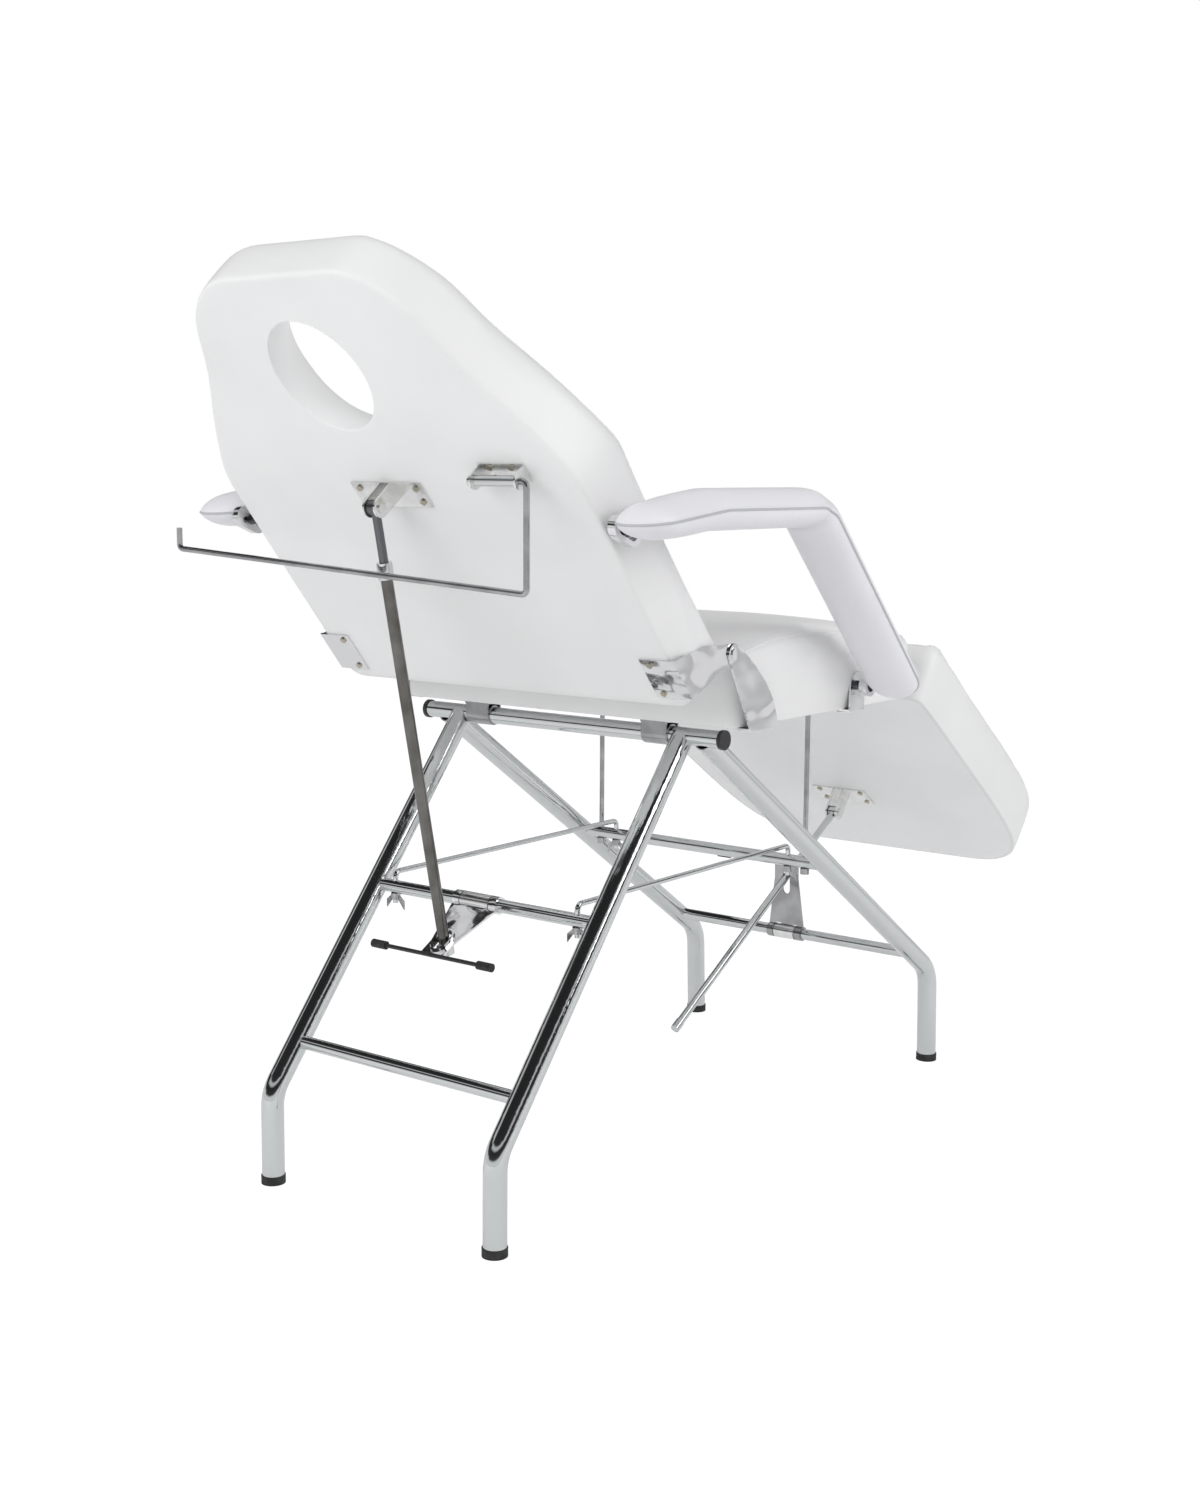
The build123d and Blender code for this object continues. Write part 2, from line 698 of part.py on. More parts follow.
leaf_shares = [(0.65, 0.43), (0.15, -0.05), (-0.15, 0.05), (0.02, 0.33)]
leaf_points = [(leaf_u[0], back_face - plate), (leaf_u[1], back_face - plate)]
for share in leaf_shares:
    leaf_points.append((share[0] * leaf_u[1], share[1] * back_face))
with BuildPart() as backrest_hinge_plates:
    panel(back_side(0), leaf_points, leaf_x[0], leaf_x[1])
    disc(back_side(0), (0, 0), pivot_eye_radius, leaf_x[0], leaf_x[1])
    leaf_flat = []
    for x, u in ((back_half - leaf_flat_reach, leaf_u[0]), (leaf_x[1], leaf_u[0]),
                 (leaf_x[1], leaf_u[1]), (back_half - leaf_flat_reach, leaf_u[1])):
        leaf_flat.append((x, u))
    panel(back_plane, leaf_flat, back_face - plate, back_face)
    disc(back_side(0), (0, 0), pivot_radius + running_gap, leaf_x[0], leaf_x[1], Mode.SUBTRACT)
    screw_holes(back_plane, back_hinge_screws[:2], back_face - plate, 1)
    mirror(about=Plane.YZ)
with BuildPart() as backrest_screws:
    screws(back_plane, back_hinge_screws, back_face - plate, 1)
    screws(back_plane, back_bracket_screws, back_face - plate, 1)
    screws(back_plane, roll_screws, back_face - plate, 1)

ear_half = 11
ear_thickness = 3
ear_width = 13
ear_foot_share = 1.05
with BuildPart() as back_strut_bracket:
    plate_points = [
        (work_x - back_bracket_half, back_bracket_u[0]),
        (work_x + back_bracket_half, back_bracket_u[0]),
        (work_x + back_bracket_half, back_bracket_u[1]),
        (work_x - back_bracket_half, back_bracket_u[1]),
    ]
    panel(back_plane, plate_points, back_face - plate, back_face)
    ear_points = [
        (back_pin_u - ear_width * ear_foot_share, back_face - plate),
        (back_pin_u + ear_width * ear_foot_share, back_face - plate),
        (back_pin_u + ear_width, back_pin_w),
        (back_pin_u - ear_width, back_pin_w),
    ]
    for start in (work_x - ear_half, work_x + ear_half - ear_thickness):
        panel(back_side(0), ear_points, start, start + ear_thickness)
        disc(back_side(0), (back_pin_u, back_pin_w), ear_width, start, start + ear_thickness)
    disc(back_side(0), (back_pin_u, back_pin_w), pin_radius, work_x - ear_half, work_x + ear_half,
         Mode.SUBTRACT)
    screw_holes(back_plane, back_bracket_screws, back_face - plate, 1)

with BuildPart() as back_strut_pin:
    start = work_x - ear_half
    end = work_x + ear_half
    disc(back_side(0), (back_pin_u, back_pin_w), pin_radius, start, end)
    disc(back_side(0), (back_pin_u, back_pin_w), pin_head_radius, end, end + pin_head)
    disc(back_side(0), (back_pin_u, back_pin_w), pin_head_radius, start - pin_head, start)

roll_ear = 3
roll_ear_radius = 11
with BuildPart() as paper_roll_bracket:
    plate_points = [
        (sleeve_span[0], roll_plate_u[0]),
        (sleeve_span[1], roll_plate_u[0]),
        (sleeve_span[1], roll_plate_u[1]),
        (sleeve_span[0], roll_plate_u[1]),
    ]
    panel(back_plane, plate_points, back_face - plate, back_face)
    for start in (sleeve_span[0], sleeve_span[1] - roll_ear):
        disc(back_side(0), (sleeve_u, sleeve_w), roll_ear_radius, start, start + roll_ear)
        ear_points = [
            (sleeve_u - roll_ear_radius, back_face),
            (sleeve_u + roll_ear_radius, back_face),
            (sleeve_u + roll_ear_radius, sleeve_w),
            (sleeve_u - roll_ear_radius, sleeve_w),
        ]
        panel(back_side(0), ear_points, start, start + roll_ear)
    disc(back_side(0), (sleeve_u, sleeve_w), sleeve_radius, sleeve_span[0], sleeve_span[1],
         Mode.SUBTRACT)
    screw_holes(back_plane, roll_screws, back_face - plate, 1)
with BuildPart() as paper_roll_sleeve:
    disc(back_side(0), (sleeve_u, sleeve_w), sleeve_radius, sleeve_span[0], sleeve_span[1] + sleeve_over)
    disc(back_side(0), (sleeve_u, sleeve_w), rod_radius + running_gap, sleeve_span[0],
         sleeve_span[1] + sleeve_over, Mode.SUBTRACT)

with BuildPart() as armrest_back_studs:
    start = back_half - stud_depth
    disc(back_side(0), stud_uw, stud_radius, start, head_x + stud_head_height)
    disc(back_side(0), stud_uw, shoulder_radius, back_half, block_x[0] - shoulder_gap)
    disc(back_side(0), stud_uw, stud_head_radius, head_x + stud_head_gap, head_x + stud_head_height)
    mirror(about=Plane.YZ)

# Leg rest board, cushion and fittings
leg_bracket_u = (378, 428)
leg_bracket_half = 53
leg_screw_shift = 42
leg_screw_end = 9
leg_bracket_screws = []
for hand in (-1, 1):
    for u in (leg_bracket_u[0] + leg_screw_end, leg_bracket_u[1] - leg_screw_end):
        leg_bracket_screws.append((-work_x + hand * leg_screw_shift, u))
leg_hinge_screws = []
for x in hinge_centres:
    for hand in (-1, 1):
        leg_hinge_screws.append((x + hand * hinge_screw_shift, hinge_screw_reach))

with BuildPart() as leg_rest_board:
    with BuildSketch(leg_plane.offset(leg_gap)):
        leg_outline(0)
    extrude(amount=board_thickness)
    screw_holes(leg_plane, leg_bracket_screws, leg_gap - plate, 1)
    screw_holes(leg_plane, leg_hinge_screws, leg_gap - hinge_leaf, 1)

leg_board_face = leg_gap + board_thickness
leg_top = leg_gap + leg_rest_depth
with BuildPart() as leg_rest_cushion:
    with BuildSketch(leg_plane.offset(leg_board_face)):
        leg_outline(leg_bulge)
    extrude(amount=leg_top + leg_crown - leg_board_face)
    crown_plane = Plane(origin=(0, leg_hinge_y, leg_hinge_z), x_dir=(-1, 0, 0), z_dir=(0, leg_cos, leg_sin))
    dome(crown_plane, leg_half + leg_bulge, leg_crown, leg_top, leg_end)
    up = Axis((0, 0, 0), (0, -leg_sin, leg_cos))
    fillet(leg_rest_cushion.faces().sort_by(up)[-1].edges(), rim_radius)
    fillet(leg_rest_cushion.faces().sort_by(up)[0].edges(), hem_radius)

with BuildPart() as leg_hinge_moving_leaves:
    for x in hinge_centres:
        leaf = [
            (x - hinge_half, knuckle_radius + knuckle_lap),
            (x + hinge_half, knuckle_radius + knuckle_lap),
            (x + hinge_half, leaf_reach),
            (x - hinge_half, leaf_reach),
        ]
        panel(leg_plane, leaf, leg_gap - hinge_leaf, leg_gap)
        for side in (-1, 1):
            inner = x + side * (knuckle_half + knuckle_gap)
            outer = x + side * hinge_half
            lap = knuckle_radius + knuckle_lap
            tab = [(inner, 0), (outer, 0), (outer, lap), (inner, lap)]
            panel(leg_plane, tab, leg_gap - hinge_leaf, leg_gap)
            disc(leg_side(0), (0, 0), knuckle_radius, inner, outer)
        disc(leg_side(0), (0, 0), hinge_pin_radius + running_gap, x - hinge_half, x + hinge_half,
             Mode.SUBTRACT)
    screw_holes(leg_plane, leg_hinge_screws, leg_gap - hinge_leaf, 1)

with BuildPart() as leg_strut_bracket:
    plate_points = [
        (-work_x - leg_bracket_half, leg_bracket_u[0]),
        (-work_x + leg_bracket_half, leg_bracket_u[0]),
        (-work_x + leg_bracket_half, leg_bracket_u[1]),
        (-work_x - leg_bracket_half, leg_bracket_u[1]),
    ]
    panel(leg_plane, plate_points, leg_gap - plate, leg_gap)
    ear_points = [
        (leg_pin_u - ear_width * ear_foot_share, leg_gap - plate),
        (leg_pin_u + ear_width * ear_foot_share, leg_gap - plate),
        (leg_pin_u + ear_width, leg_pin_w),
        (leg_pin_u - ear_width, leg_pin_w),
    ]
    for start in (-work_x - ear_half, -work_x + ear_half - ear_thickness):
        panel(leg_side(0), ear_points, start, start + ear_thickness)
        disc(leg_side(0), (leg_pin_u, leg_pin_w), ear_width, start, start + ear_thickness)
    disc(leg_side(0), (leg_pin_u, leg_pin_w), pin_radius, -work_x - ear_half, -work_x + ear_half,
         Mode.SUBTRACT)
    screw_holes(leg_plane, leg_bracket_screws, leg_gap - plate, 1)
with BuildPart() as leg_rest_screws:
    screws(leg_plane, leg_bracket_screws, leg_gap - plate, 1)
    screws(leg_plane, leg_hinge_screws, leg_gap - hinge_leaf, 1)
with BuildPart() as leg_strut_pin:
    start = -work_x - ear_half
    end = -work_x + ear_half
    disc(leg_side(0), (leg_pin_u, leg_pin_w), pin_radius, start, end)
    disc(leg_side(0), (leg_pin_u, leg_pin_w), pin_head_radius, end, end + pin_head)
    disc(leg_side(0), (leg_pin_u, leg_pin_w), pin_head_radius, start - pin_head, start)

# Backrest strut, from the pin on the backrest to the rear release lever
back_pin = back_point(back_pin_u, back_pin_w)
drop = math.radians(rear_lever_drop)
rear_along = (math.cos(drop), -math.sin(drop))
rear_eye = (rear_middle[0] + rear_lever_reach * rear_along[0],
            rear_middle[1] + rear_lever_reach * rear_along[1])
back_run = math.hypot(rear_eye[0] - back_pin[0], rear_eye[1] - back_pin[1])
back_strut_axis = Plane(
    origin=(work_x, back_pin[0], back_pin[1]),
    x_dir=(1, 0, 0),
    z_dir=(0, rear_eye[0] - back_pin[0], rear_eye[1] - back_pin[1]),
)
with BuildPart() as back_strut_rod:
    disc(Plane.YZ, back_pin, eye_radius, work_x - eye_half, work_x + eye_half)
    disc(back_strut_axis, (0, 0), back_rod_radius, 0, collar_start + collar_length / 2)
    disc(Plane.YZ, back_pin, pin_radius + running_gap, work_x - eye_half, work_x + eye_half, Mode.SUBTRACT)
with BuildPart() as back_strut_collar:
    disc(back_strut_axis, (0, 0), collar_radius, collar_start, collar_start + collar_length)
    disc(back_strut_axis, (0, 0), back_rod_radius, collar_start, collar_start + collar_length / 2,
         Mode.SUBTRACT)
    disc(back_strut_axis, (0, 0), back_tube_radius, collar_start + collar_length / 2,
         collar_start + collar_length, Mode.SUBTRACT)
back_tube_end = back_run + stop_cap_gap + stop_cap_length
with BuildPart() as back_strut_tube:
    start = collar_start + collar_length / 2
    end = back_tube_end - tube_end_gap
    disc(back_strut_axis, (0, 0), back_tube_radius, start, end)
    disc(back_strut_axis, (0, 0), back_tube_radius - bar_wall, start + tube_end_gap, end, Mode.SUBTRACT)
with BuildPart() as back_strut_cap:
    start = back_run + stop_cap_gap
    disc(back_strut_axis, (0, 0), stop_cap_radius, start, back_tube_end)
    disc(back_strut_axis, (0, 0), back_tube_radius, start, back_tube_end - tube_end_gap, Mode.SUBTRACT)

# Leg rest strut, from the pin under the leg rest through the front release lever
leg_pin = leg_point(leg_pin_u, leg_pin_w)
leg_strut_axis = Plane(
    origin=(work_x, leg_pin[0], leg_pin[1]),
    x_dir=(1, 0, 0),
    z_dir=(0, front_strut_eye[0] - leg_pin[0], front_strut_eye[1] - leg_pin[1]),
)
with BuildPart() as leg_strut_tube:
    disc(Plane.YZ, leg_pin, eye_radius, work_x - eye_half, work_x + eye_half)
    disc(leg_strut_axis, (0, 0), leg_strut_radius, 0, leg_strut_length)
    disc(Plane.YZ, leg_pin, pin_radius + running_gap, work_x - eye_half, work_x + eye_half, Mode.SUBTRACT)
with BuildPart() as leg_strut_cap:
    disc(leg_strut_axis, (0, 0), leg_cap_radius, leg_strut_length - leg_cap_length * 2,
         leg_strut_length + leg_cap_length)
    disc(leg_strut_axis, (0, 0), leg_strut_radius, leg_strut_length - leg_cap_length * 2,
         leg_strut_length, Mode.SUBTRACT)


def lever_face(point, along):
    """Plane of a lever plate, x across the width and y away from the crossbar."""
    return Plane(origin=(work_x, point[0], point[1]), x_dir=(1, 0, 0), z_dir=(0, -along[1], along[0]))


def lever_side(point, along):
    """Plane square to the width, x away from the crossbar and y out of the lever plate."""
    return Plane(origin=(work_x, point[0], point[1]), x_dir=(0, along[0], along[1]), z_dir=(1, 0, 0))


def lever(point, along, half, end_half, plate_end, slot, slot_width, clamp_half, handle_reach):
    """Tapered plate that turns on a crossbar, with a slot for the strut."""
    face = lever_face(point, along)
    side = lever_side(point, along)
    neck = plate_end - lever_neck
    outline = [(-half, plate_start), (half, plate_start), (end_half, neck), (end_half, plate_end),
               (-end_half, plate_end), (-end_half, neck)]
    panel(face, outline, -lever_thickness / 2, lever_thickness / 2)
    for hand in (-1, 1):
        inner = hand * (clamp_half + eye_gap)
        outer = hand * half
        disc(side, (0, 0), bar_radius + eye_wall, inner, outer)
        tab = [(inner, 0), (outer, 0), (outer, plate_start + tab_lap), (inner, plate_start + tab_lap)]
        panel(face, tab, -lever_thickness / 2, lever_thickness / 2)
    middle = (slot[0] + slot[1]) / 2
    length = slot[1] - slot[0]
    inside = collar_gap * 2
    outside = (collar_gap + collar_wall) * 2
    with BuildSketch(face.offset(lever_thickness / 2)) as shape:
        with Locations((0, middle)):
            SlotOverall(length + outside, slot_width + outside, rotation=90)
            SlotOverall(length + inside, slot_width + inside, rotation=90, mode=Mode.SUBTRACT)
    extrude(shape.sketch, amount=collar_height)
    with BuildSketch(face.offset(-lever_thickness)) as shape:
        with Locations((0, middle)):
            SlotOverall(length, slot_width, rotation=90)
    extrude(shape.sketch, amount=lever_thickness * 2, mode=Mode.SUBTRACT)
    disc(side, (0, 0), bar_radius + running_gap, -half, half, Mode.SUBTRACT)
    disc(side, (handle_reach, 0), handle_radius, -half, half, Mode.SUBTRACT)


def clamp(point, along, clamp_half, lip_side):
    """Fixed clamp round a crossbar, with a lip that the lever rests on."""
    side = lever_side(point, along)
    disc(side, (0, 0), bar_radius + eye_wall, -clamp_half, clamp_half)
    near = lip_side * lever_thickness / 2
    far = lip_side * (lever_thickness / 2 + eye_wall)
    start = bar_radius - clamp_lap
    lip_half = clamp_half * clamp_lip_share
    lip = [(start, near), (clamp_lip_reach, near), (clamp_lip_reach, far), (start, far)]
    panel(side, lip, -lip_half, lip_half)
    low = lip_side * bar_radius
    back, front = clamp_foot_span
    foot = [(back, low), (front, low), (front + clamp_foot_slope, far), (back, far)]
    panel(side, foot, -lip_half, -lip_half + plate)
    panel(side, foot, lip_half - plate, lip_half)
    disc(side, (0, 0), bar_radius, -clamp_half, clamp_half, Mode.SUBTRACT)


front_rise = (front_strut_eye[0] - front_lower[0], front_strut_eye[1] - front_lower[1])
front_size = math.hypot(front_rise[0], front_rise[1])
front_along = (front_rise[0] / front_size, front_rise[1] / front_size)

with BuildPart() as rear_lever_plate:
    lever(rear_middle, rear_along, rear_lever_half, rear_lever_end_half, rear_plate_end, rear_slot,
          rear_slot_width, clamp_half_rear, rear_bar_reach)
with BuildPart() as rear_lever_bar:
    side_plane = lever_side(rear_middle, rear_along)
    disc(side_plane, (rear_bar_reach, 0), handle_radius, -bar_half, bar_half)
with BuildPart() as rear_lever_grips:
    for end in (-bar_half, bar_half):
        out = math.copysign(1, end)
        disc(side_plane, (rear_bar_reach, 0), grip_radius, end - out * grip_length, end + out * grip_end)
        disc(side_plane, (rear_bar_reach, 0), handle_radius, end - out * grip_length, end, Mode.SUBTRACT)
with BuildPart() as rear_lever_clamp:
    clamp(rear_middle, rear_along, clamp_half_rear, -1)

with BuildPart() as front_lever_plate:
    lever(front_lower, front_along, front_lever_half, front_lever_end_half, front_plate_end, front_slot,
          front_slot_width, clamp_half_front, front_bar_reach)
with BuildPart() as front_lever_bar:
    side_plane = lever_side(front_lower, front_along)
    disc(side_plane, (front_bar_reach, 0), handle_radius, front_bar_span[0] - work_x,
         front_bar_span[1] - work_x)
with BuildPart() as front_lever_grips:
    for end, out in ((front_bar_span[0] - work_x, -1), (front_bar_span[1] - work_x, 1)):
        disc(side_plane, (front_bar_reach, 0), grip_radius, end - out * grip_length, end + out * grip_end)
        disc(side_plane, (front_bar_reach, 0), handle_radius, end - out * grip_length, end, Mode.SUBTRACT)
with BuildPart() as front_lever_clamp:
    clamp(front_lower, front_along, clamp_half_front, 1)


# Armrests: padded links with a pivot at each end
def arm_pad(side):
    """Padded link, bent once, with rounded ends and seats for the pivot blocks."""
    x = side * arm_x
    with BuildLine(Plane.YZ.offset(x)) as path:
        FilletPolyline(*arm_path, radius=arm_bend_radius)
    wire = path.wire()
    with BuildSketch(Plane(origin=wire @ 0, x_dir=(1, 0, 0), z_dir=wire % 0)) as shape:
        Ellipse(arm_half_width, arm_half_height)
    sweep(shape.sketch, path=wire)
    for share in (0, 1):
        run = wire % share
        hand = share * 2 - 1
        up = (0, -hand * run.Z, hand * run.Y)
        spot = wire @ share
        with BuildSketch(Plane(origin=spot, x_dir=(1, 0, 0), z_dir=run)) as shape:
            Ellipse(arm_half_width, arm_half_height)
            with Locations((-arm_half_width, 0)):
                Rectangle(arm_half_width * 2, arm_half_height * 3, mode=Mode.SUBTRACT)
        revolve(shape.sketch, axis=Axis(spot, up), revolution_arc=180)
    block_shapes(side, Mode.SUBTRACT)


link_angle = math.degrees(math.atan2(arm_pivot_back[1] - arm_pivot_seat[1],
                                     arm_pivot_back[0] - arm_pivot_seat[0]))


def block_shapes(side, mode):
    """Outer shapes of the slotted block and of the round eye block."""
    start = side * block_x[0]
    if mode == Mode.SUBTRACT:
        start = 0
    amount = side * block_x[1] - start
    with BuildSketch(Plane.YZ.offset(start)) as shape:
        with Locations(arm_pivot_back):
            SlotOverall(block_length, block_half_height * 2, rotation=link_angle)
    extrude(shape.sketch, amount=amount, mode=mode)
    disc(Plane.YZ, arm_pivot_seat, block_half_height, start, side * block_x[1], mode)


def block_bores(side):
    """Slot and bore for the studs, with room for their heads."""
    for start, end, radius, gap in ((block_x[0], head_x, stud_radius, running_gap),
                                    (head_x, block_x[1], stud_head_radius, stud_head_clearance)):
        wide = (radius + max(gap, slot_gap)) * 2
        with BuildSketch(Plane.YZ.offset(side * start)) as shape:
            with Locations(arm_pivot_back):
                SlotOverall(wide + slot_travel, wide, rotation=link_angle)
        extrude(shape.sketch, amount=side * (end - start), mode=Mode.SUBTRACT)
        disc(Plane.YZ, arm_pivot_seat, radius + gap, side * start, side * end, Mode.SUBTRACT)


with BuildPart() as armrest_pad_left:
    arm_pad(-1)
with BuildPart() as armrest_pad_right:
    arm_pad(1)
with BuildPart() as armrest_blocks_left:
    block_shapes(-1, Mode.ADD)
    block_bores(-1)
with BuildPart() as armrest_blocks_right:
    block_shapes(1, Mode.ADD)
    block_bores(1)

# Paper roll rod, hanging plumb from its sleeve
roll_axis = back_point(sleeve_u, sleeve_w)
roll_plane = Plane.XZ.offset(-roll_axis[0])
with BuildPart() as paper_roll_rod:
    rod_points = [
        (sleeve_span[1] + roll_rod_over, roll_axis[1]),
        (roll_knee_x, roll_axis[1]),
        (roll_knee_x, roll_drop_z),
        (roll_far_x, roll_rise_z),
        (roll_far_x, roll_tip_z),
    ]
    bent_bar(roll_plane, rod_points, rod_radius, roll_bend_radius)

nodes = {
    "rear_leg_left": rear_leg_left,
    "rear_leg_right": rear_leg_right,
    "front_leg_left": front_leg_left,
    "front_leg_right": front_leg_right,
    "top_tube": top_tube,
    "top_tube_caps": top_tube_caps,
    "foot_caps": foot_caps,
    "rear_lower_crossbar": rear_lower_crossbar,
    "rear_middle_crossbar": rear_middle_crossbar,
    "front_lower_crossbar": front_lower_crossbar,
    "front_upper_crossbar": front_upper_crossbar,
    "tie_rods": tie_rods,
    "wing_nuts": wing_nuts,
    "seat_support_rods": seat_support_rods,
    "tube_saddles": tube_saddles,
    "saddle_bolts": saddle_bolts,
    "seat_hinge_plates": seat_hinge_plates,
    "seat_screws": seat_screws,
    "hinge_rivets": hinge_rivets,
    "armrest_seat_brackets": armrest_seat_brackets,
    "armrest_seat_studs": armrest_seat_studs,
    "leg_hinge_fixed_leaves": leg_hinge_fixed_leaves,
    "leg_hinge_pins": leg_hinge_pins,
    "seat_board": seat_board,
    "seat_cushion": seat_cushion,
    "backrest_board": backrest_board,
    "backrest_cushion": backrest_cushion,
    "backrest_hinge_plates": backrest_hinge_plates,
    "backrest_screws": backrest_screws,
    "back_strut_bracket": back_strut_bracket,
    "back_strut_pin": back_strut_pin,
    "paper_roll_bracket": paper_roll_bracket,
    "paper_roll_sleeve": paper_roll_sleeve,
    "armrest_back_studs": armrest_back_studs,
    "leg_rest_board": leg_rest_board,
    "leg_rest_cushion": leg_rest_cushion,
    "leg_hinge_moving_leaves": leg_hinge_moving_leaves,
    "leg_strut_bracket": leg_strut_bracket,
    "leg_rest_screws": leg_rest_screws,
    "leg_strut_pin": leg_strut_pin,
    "back_strut_rod": back_strut_rod,
    "back_strut_collar": back_strut_collar,
    "back_strut_tube": back_strut_tube,
    "back_strut_cap": back_strut_cap,
    "leg_strut_tube": leg_strut_tube,
    "leg_strut_cap": leg_strut_cap,
    "rear_lever_plate": rear_lever_plate,
    "rear_lever_bar": rear_lever_bar,
    "rear_lever_grips": rear_lever_grips,
    "rear_lever_clamp": rear_lever_clamp,
    "front_lever_plate": front_lever_plate,
    "front_lever_bar": front_lever_bar,
    "front_lever_grips": front_lever_grips,
    "front_lever_clamp": front_lever_clamp,
    "armrest_pad_left": armrest_pad_left,
    "armrest_pad_right": armrest_pad_right,
    "armrest_blocks_left": armrest_blocks_left,
    "armrest_blocks_right": armrest_blocks_right,
    "paper_roll_rod": paper_roll_rod,
}
for label, node in nodes.items():
    node.part.label = label
    export_step(node.part, "parts/" + label + ".step")
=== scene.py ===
# %% [markdown]
# # A treatment bed on chromed legs
# The bed is a seat on a tube frame, a backrest with a face hole,
# a leg rest, two padded armrests and two sliding struts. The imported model
# gives every hard part in its true place. This lesson adds light, finishes and
# the padded pieces, in metres, with X across the bed, +Y to the head end and
# +Z up.

# %% Load the frame
import json
import math
import bpy
import numpy as np
from mathutils import Matrix


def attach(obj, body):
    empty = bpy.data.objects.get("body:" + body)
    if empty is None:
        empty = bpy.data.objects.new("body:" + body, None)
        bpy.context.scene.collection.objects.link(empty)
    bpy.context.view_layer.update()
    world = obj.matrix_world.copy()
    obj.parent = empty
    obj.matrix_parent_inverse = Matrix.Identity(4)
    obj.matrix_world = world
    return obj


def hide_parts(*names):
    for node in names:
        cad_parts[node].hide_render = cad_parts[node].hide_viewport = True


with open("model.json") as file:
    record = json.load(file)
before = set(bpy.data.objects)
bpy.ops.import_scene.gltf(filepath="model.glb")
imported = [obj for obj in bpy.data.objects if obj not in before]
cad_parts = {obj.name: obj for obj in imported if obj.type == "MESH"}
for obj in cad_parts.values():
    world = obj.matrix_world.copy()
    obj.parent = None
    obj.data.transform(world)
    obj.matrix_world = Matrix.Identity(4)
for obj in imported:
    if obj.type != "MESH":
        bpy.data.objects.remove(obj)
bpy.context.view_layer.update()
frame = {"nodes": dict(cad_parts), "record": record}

nodes = frame["nodes"]

# %% [markdown]
# ## The camera
# The photograph looks from behind the head end, a little above the seat. The
# view was worked out from the feet, legs and board edges, so it is given as a
# place, three angles and a lens. A camera could also be aimed with a Track To
# constraint, but fixed angles keep the horizon's small roll.

# %% Place the camera
view_azimuth, view_pitch, view_roll = 217.648, 8.340, 0.344
camera_place = np.array([-1.7421, 2.4258, 1.0])
lens_mm = 46.131


def camera_axes(azimuth, pitch, roll):
    """Right, up and backward unit vectors of a camera that sits at that azimuth and looks down by pitch."""
    a, e, r = np.radians([azimuth, pitch, roll])
    back = np.array([np.sin(a) * np.cos(e), -np.cos(a) * np.cos(e), np.sin(e)])
    right = np.cross(-back, [0.0, 0.0, 1.0])
    right /= np.linalg.norm(right)
    up = np.cross(back, right)
    return right * np.cos(r) + up * np.sin(r), up * np.cos(r) - right * np.sin(r), back


camera_data = bpy.data.cameras.new("photo_view")
camera_data.lens = lens_mm
camera_data.sensor_width = 36.0
camera_data.sensor_fit = "AUTO"
camera_data.clip_end = 60.0
camera = bpy.data.objects.new("photo_view", camera_data)
bpy.context.scene.collection.objects.link(camera)
right, up, back = camera_axes(view_azimuth, view_pitch, view_roll)
pose = np.eye(4)
pose[:3, 0], pose[:3, 1], pose[:3, 2], pose[:3, 3] = right, up, back, camera_place
camera.matrix_world = Matrix(pose.tolist())
bpy.context.scene.camera = camera
print("camera at", camera_place, "looking along", (-back).round(3))

# %% [markdown]
# ## Floor, sky and lamps
# A studio sweep is white all round. The camera sees a white world and a floor
# that glows almost to white, so only a soft shadow stays under the feet. The
# light on the bed comes from large soft lamps and a dim grey sky, and is kept
# plain so that the white covers don't burn out. Chrome shows what stands round
# it, so mirror rays see a sky in bands: light near and below the horizon, dark
# above, as in a studio with dark walls.

# %% Make the sky
scene = bpy.context.scene
scene.view_settings.view_transform = "Standard"
sky_steps = ((0.10, 0.72), (0.17, 0.05), (0.40, 0.02), (0.47, 0.50), (0.53, 0.62), (0.60, 0.03),
             (0.88, 0.02))


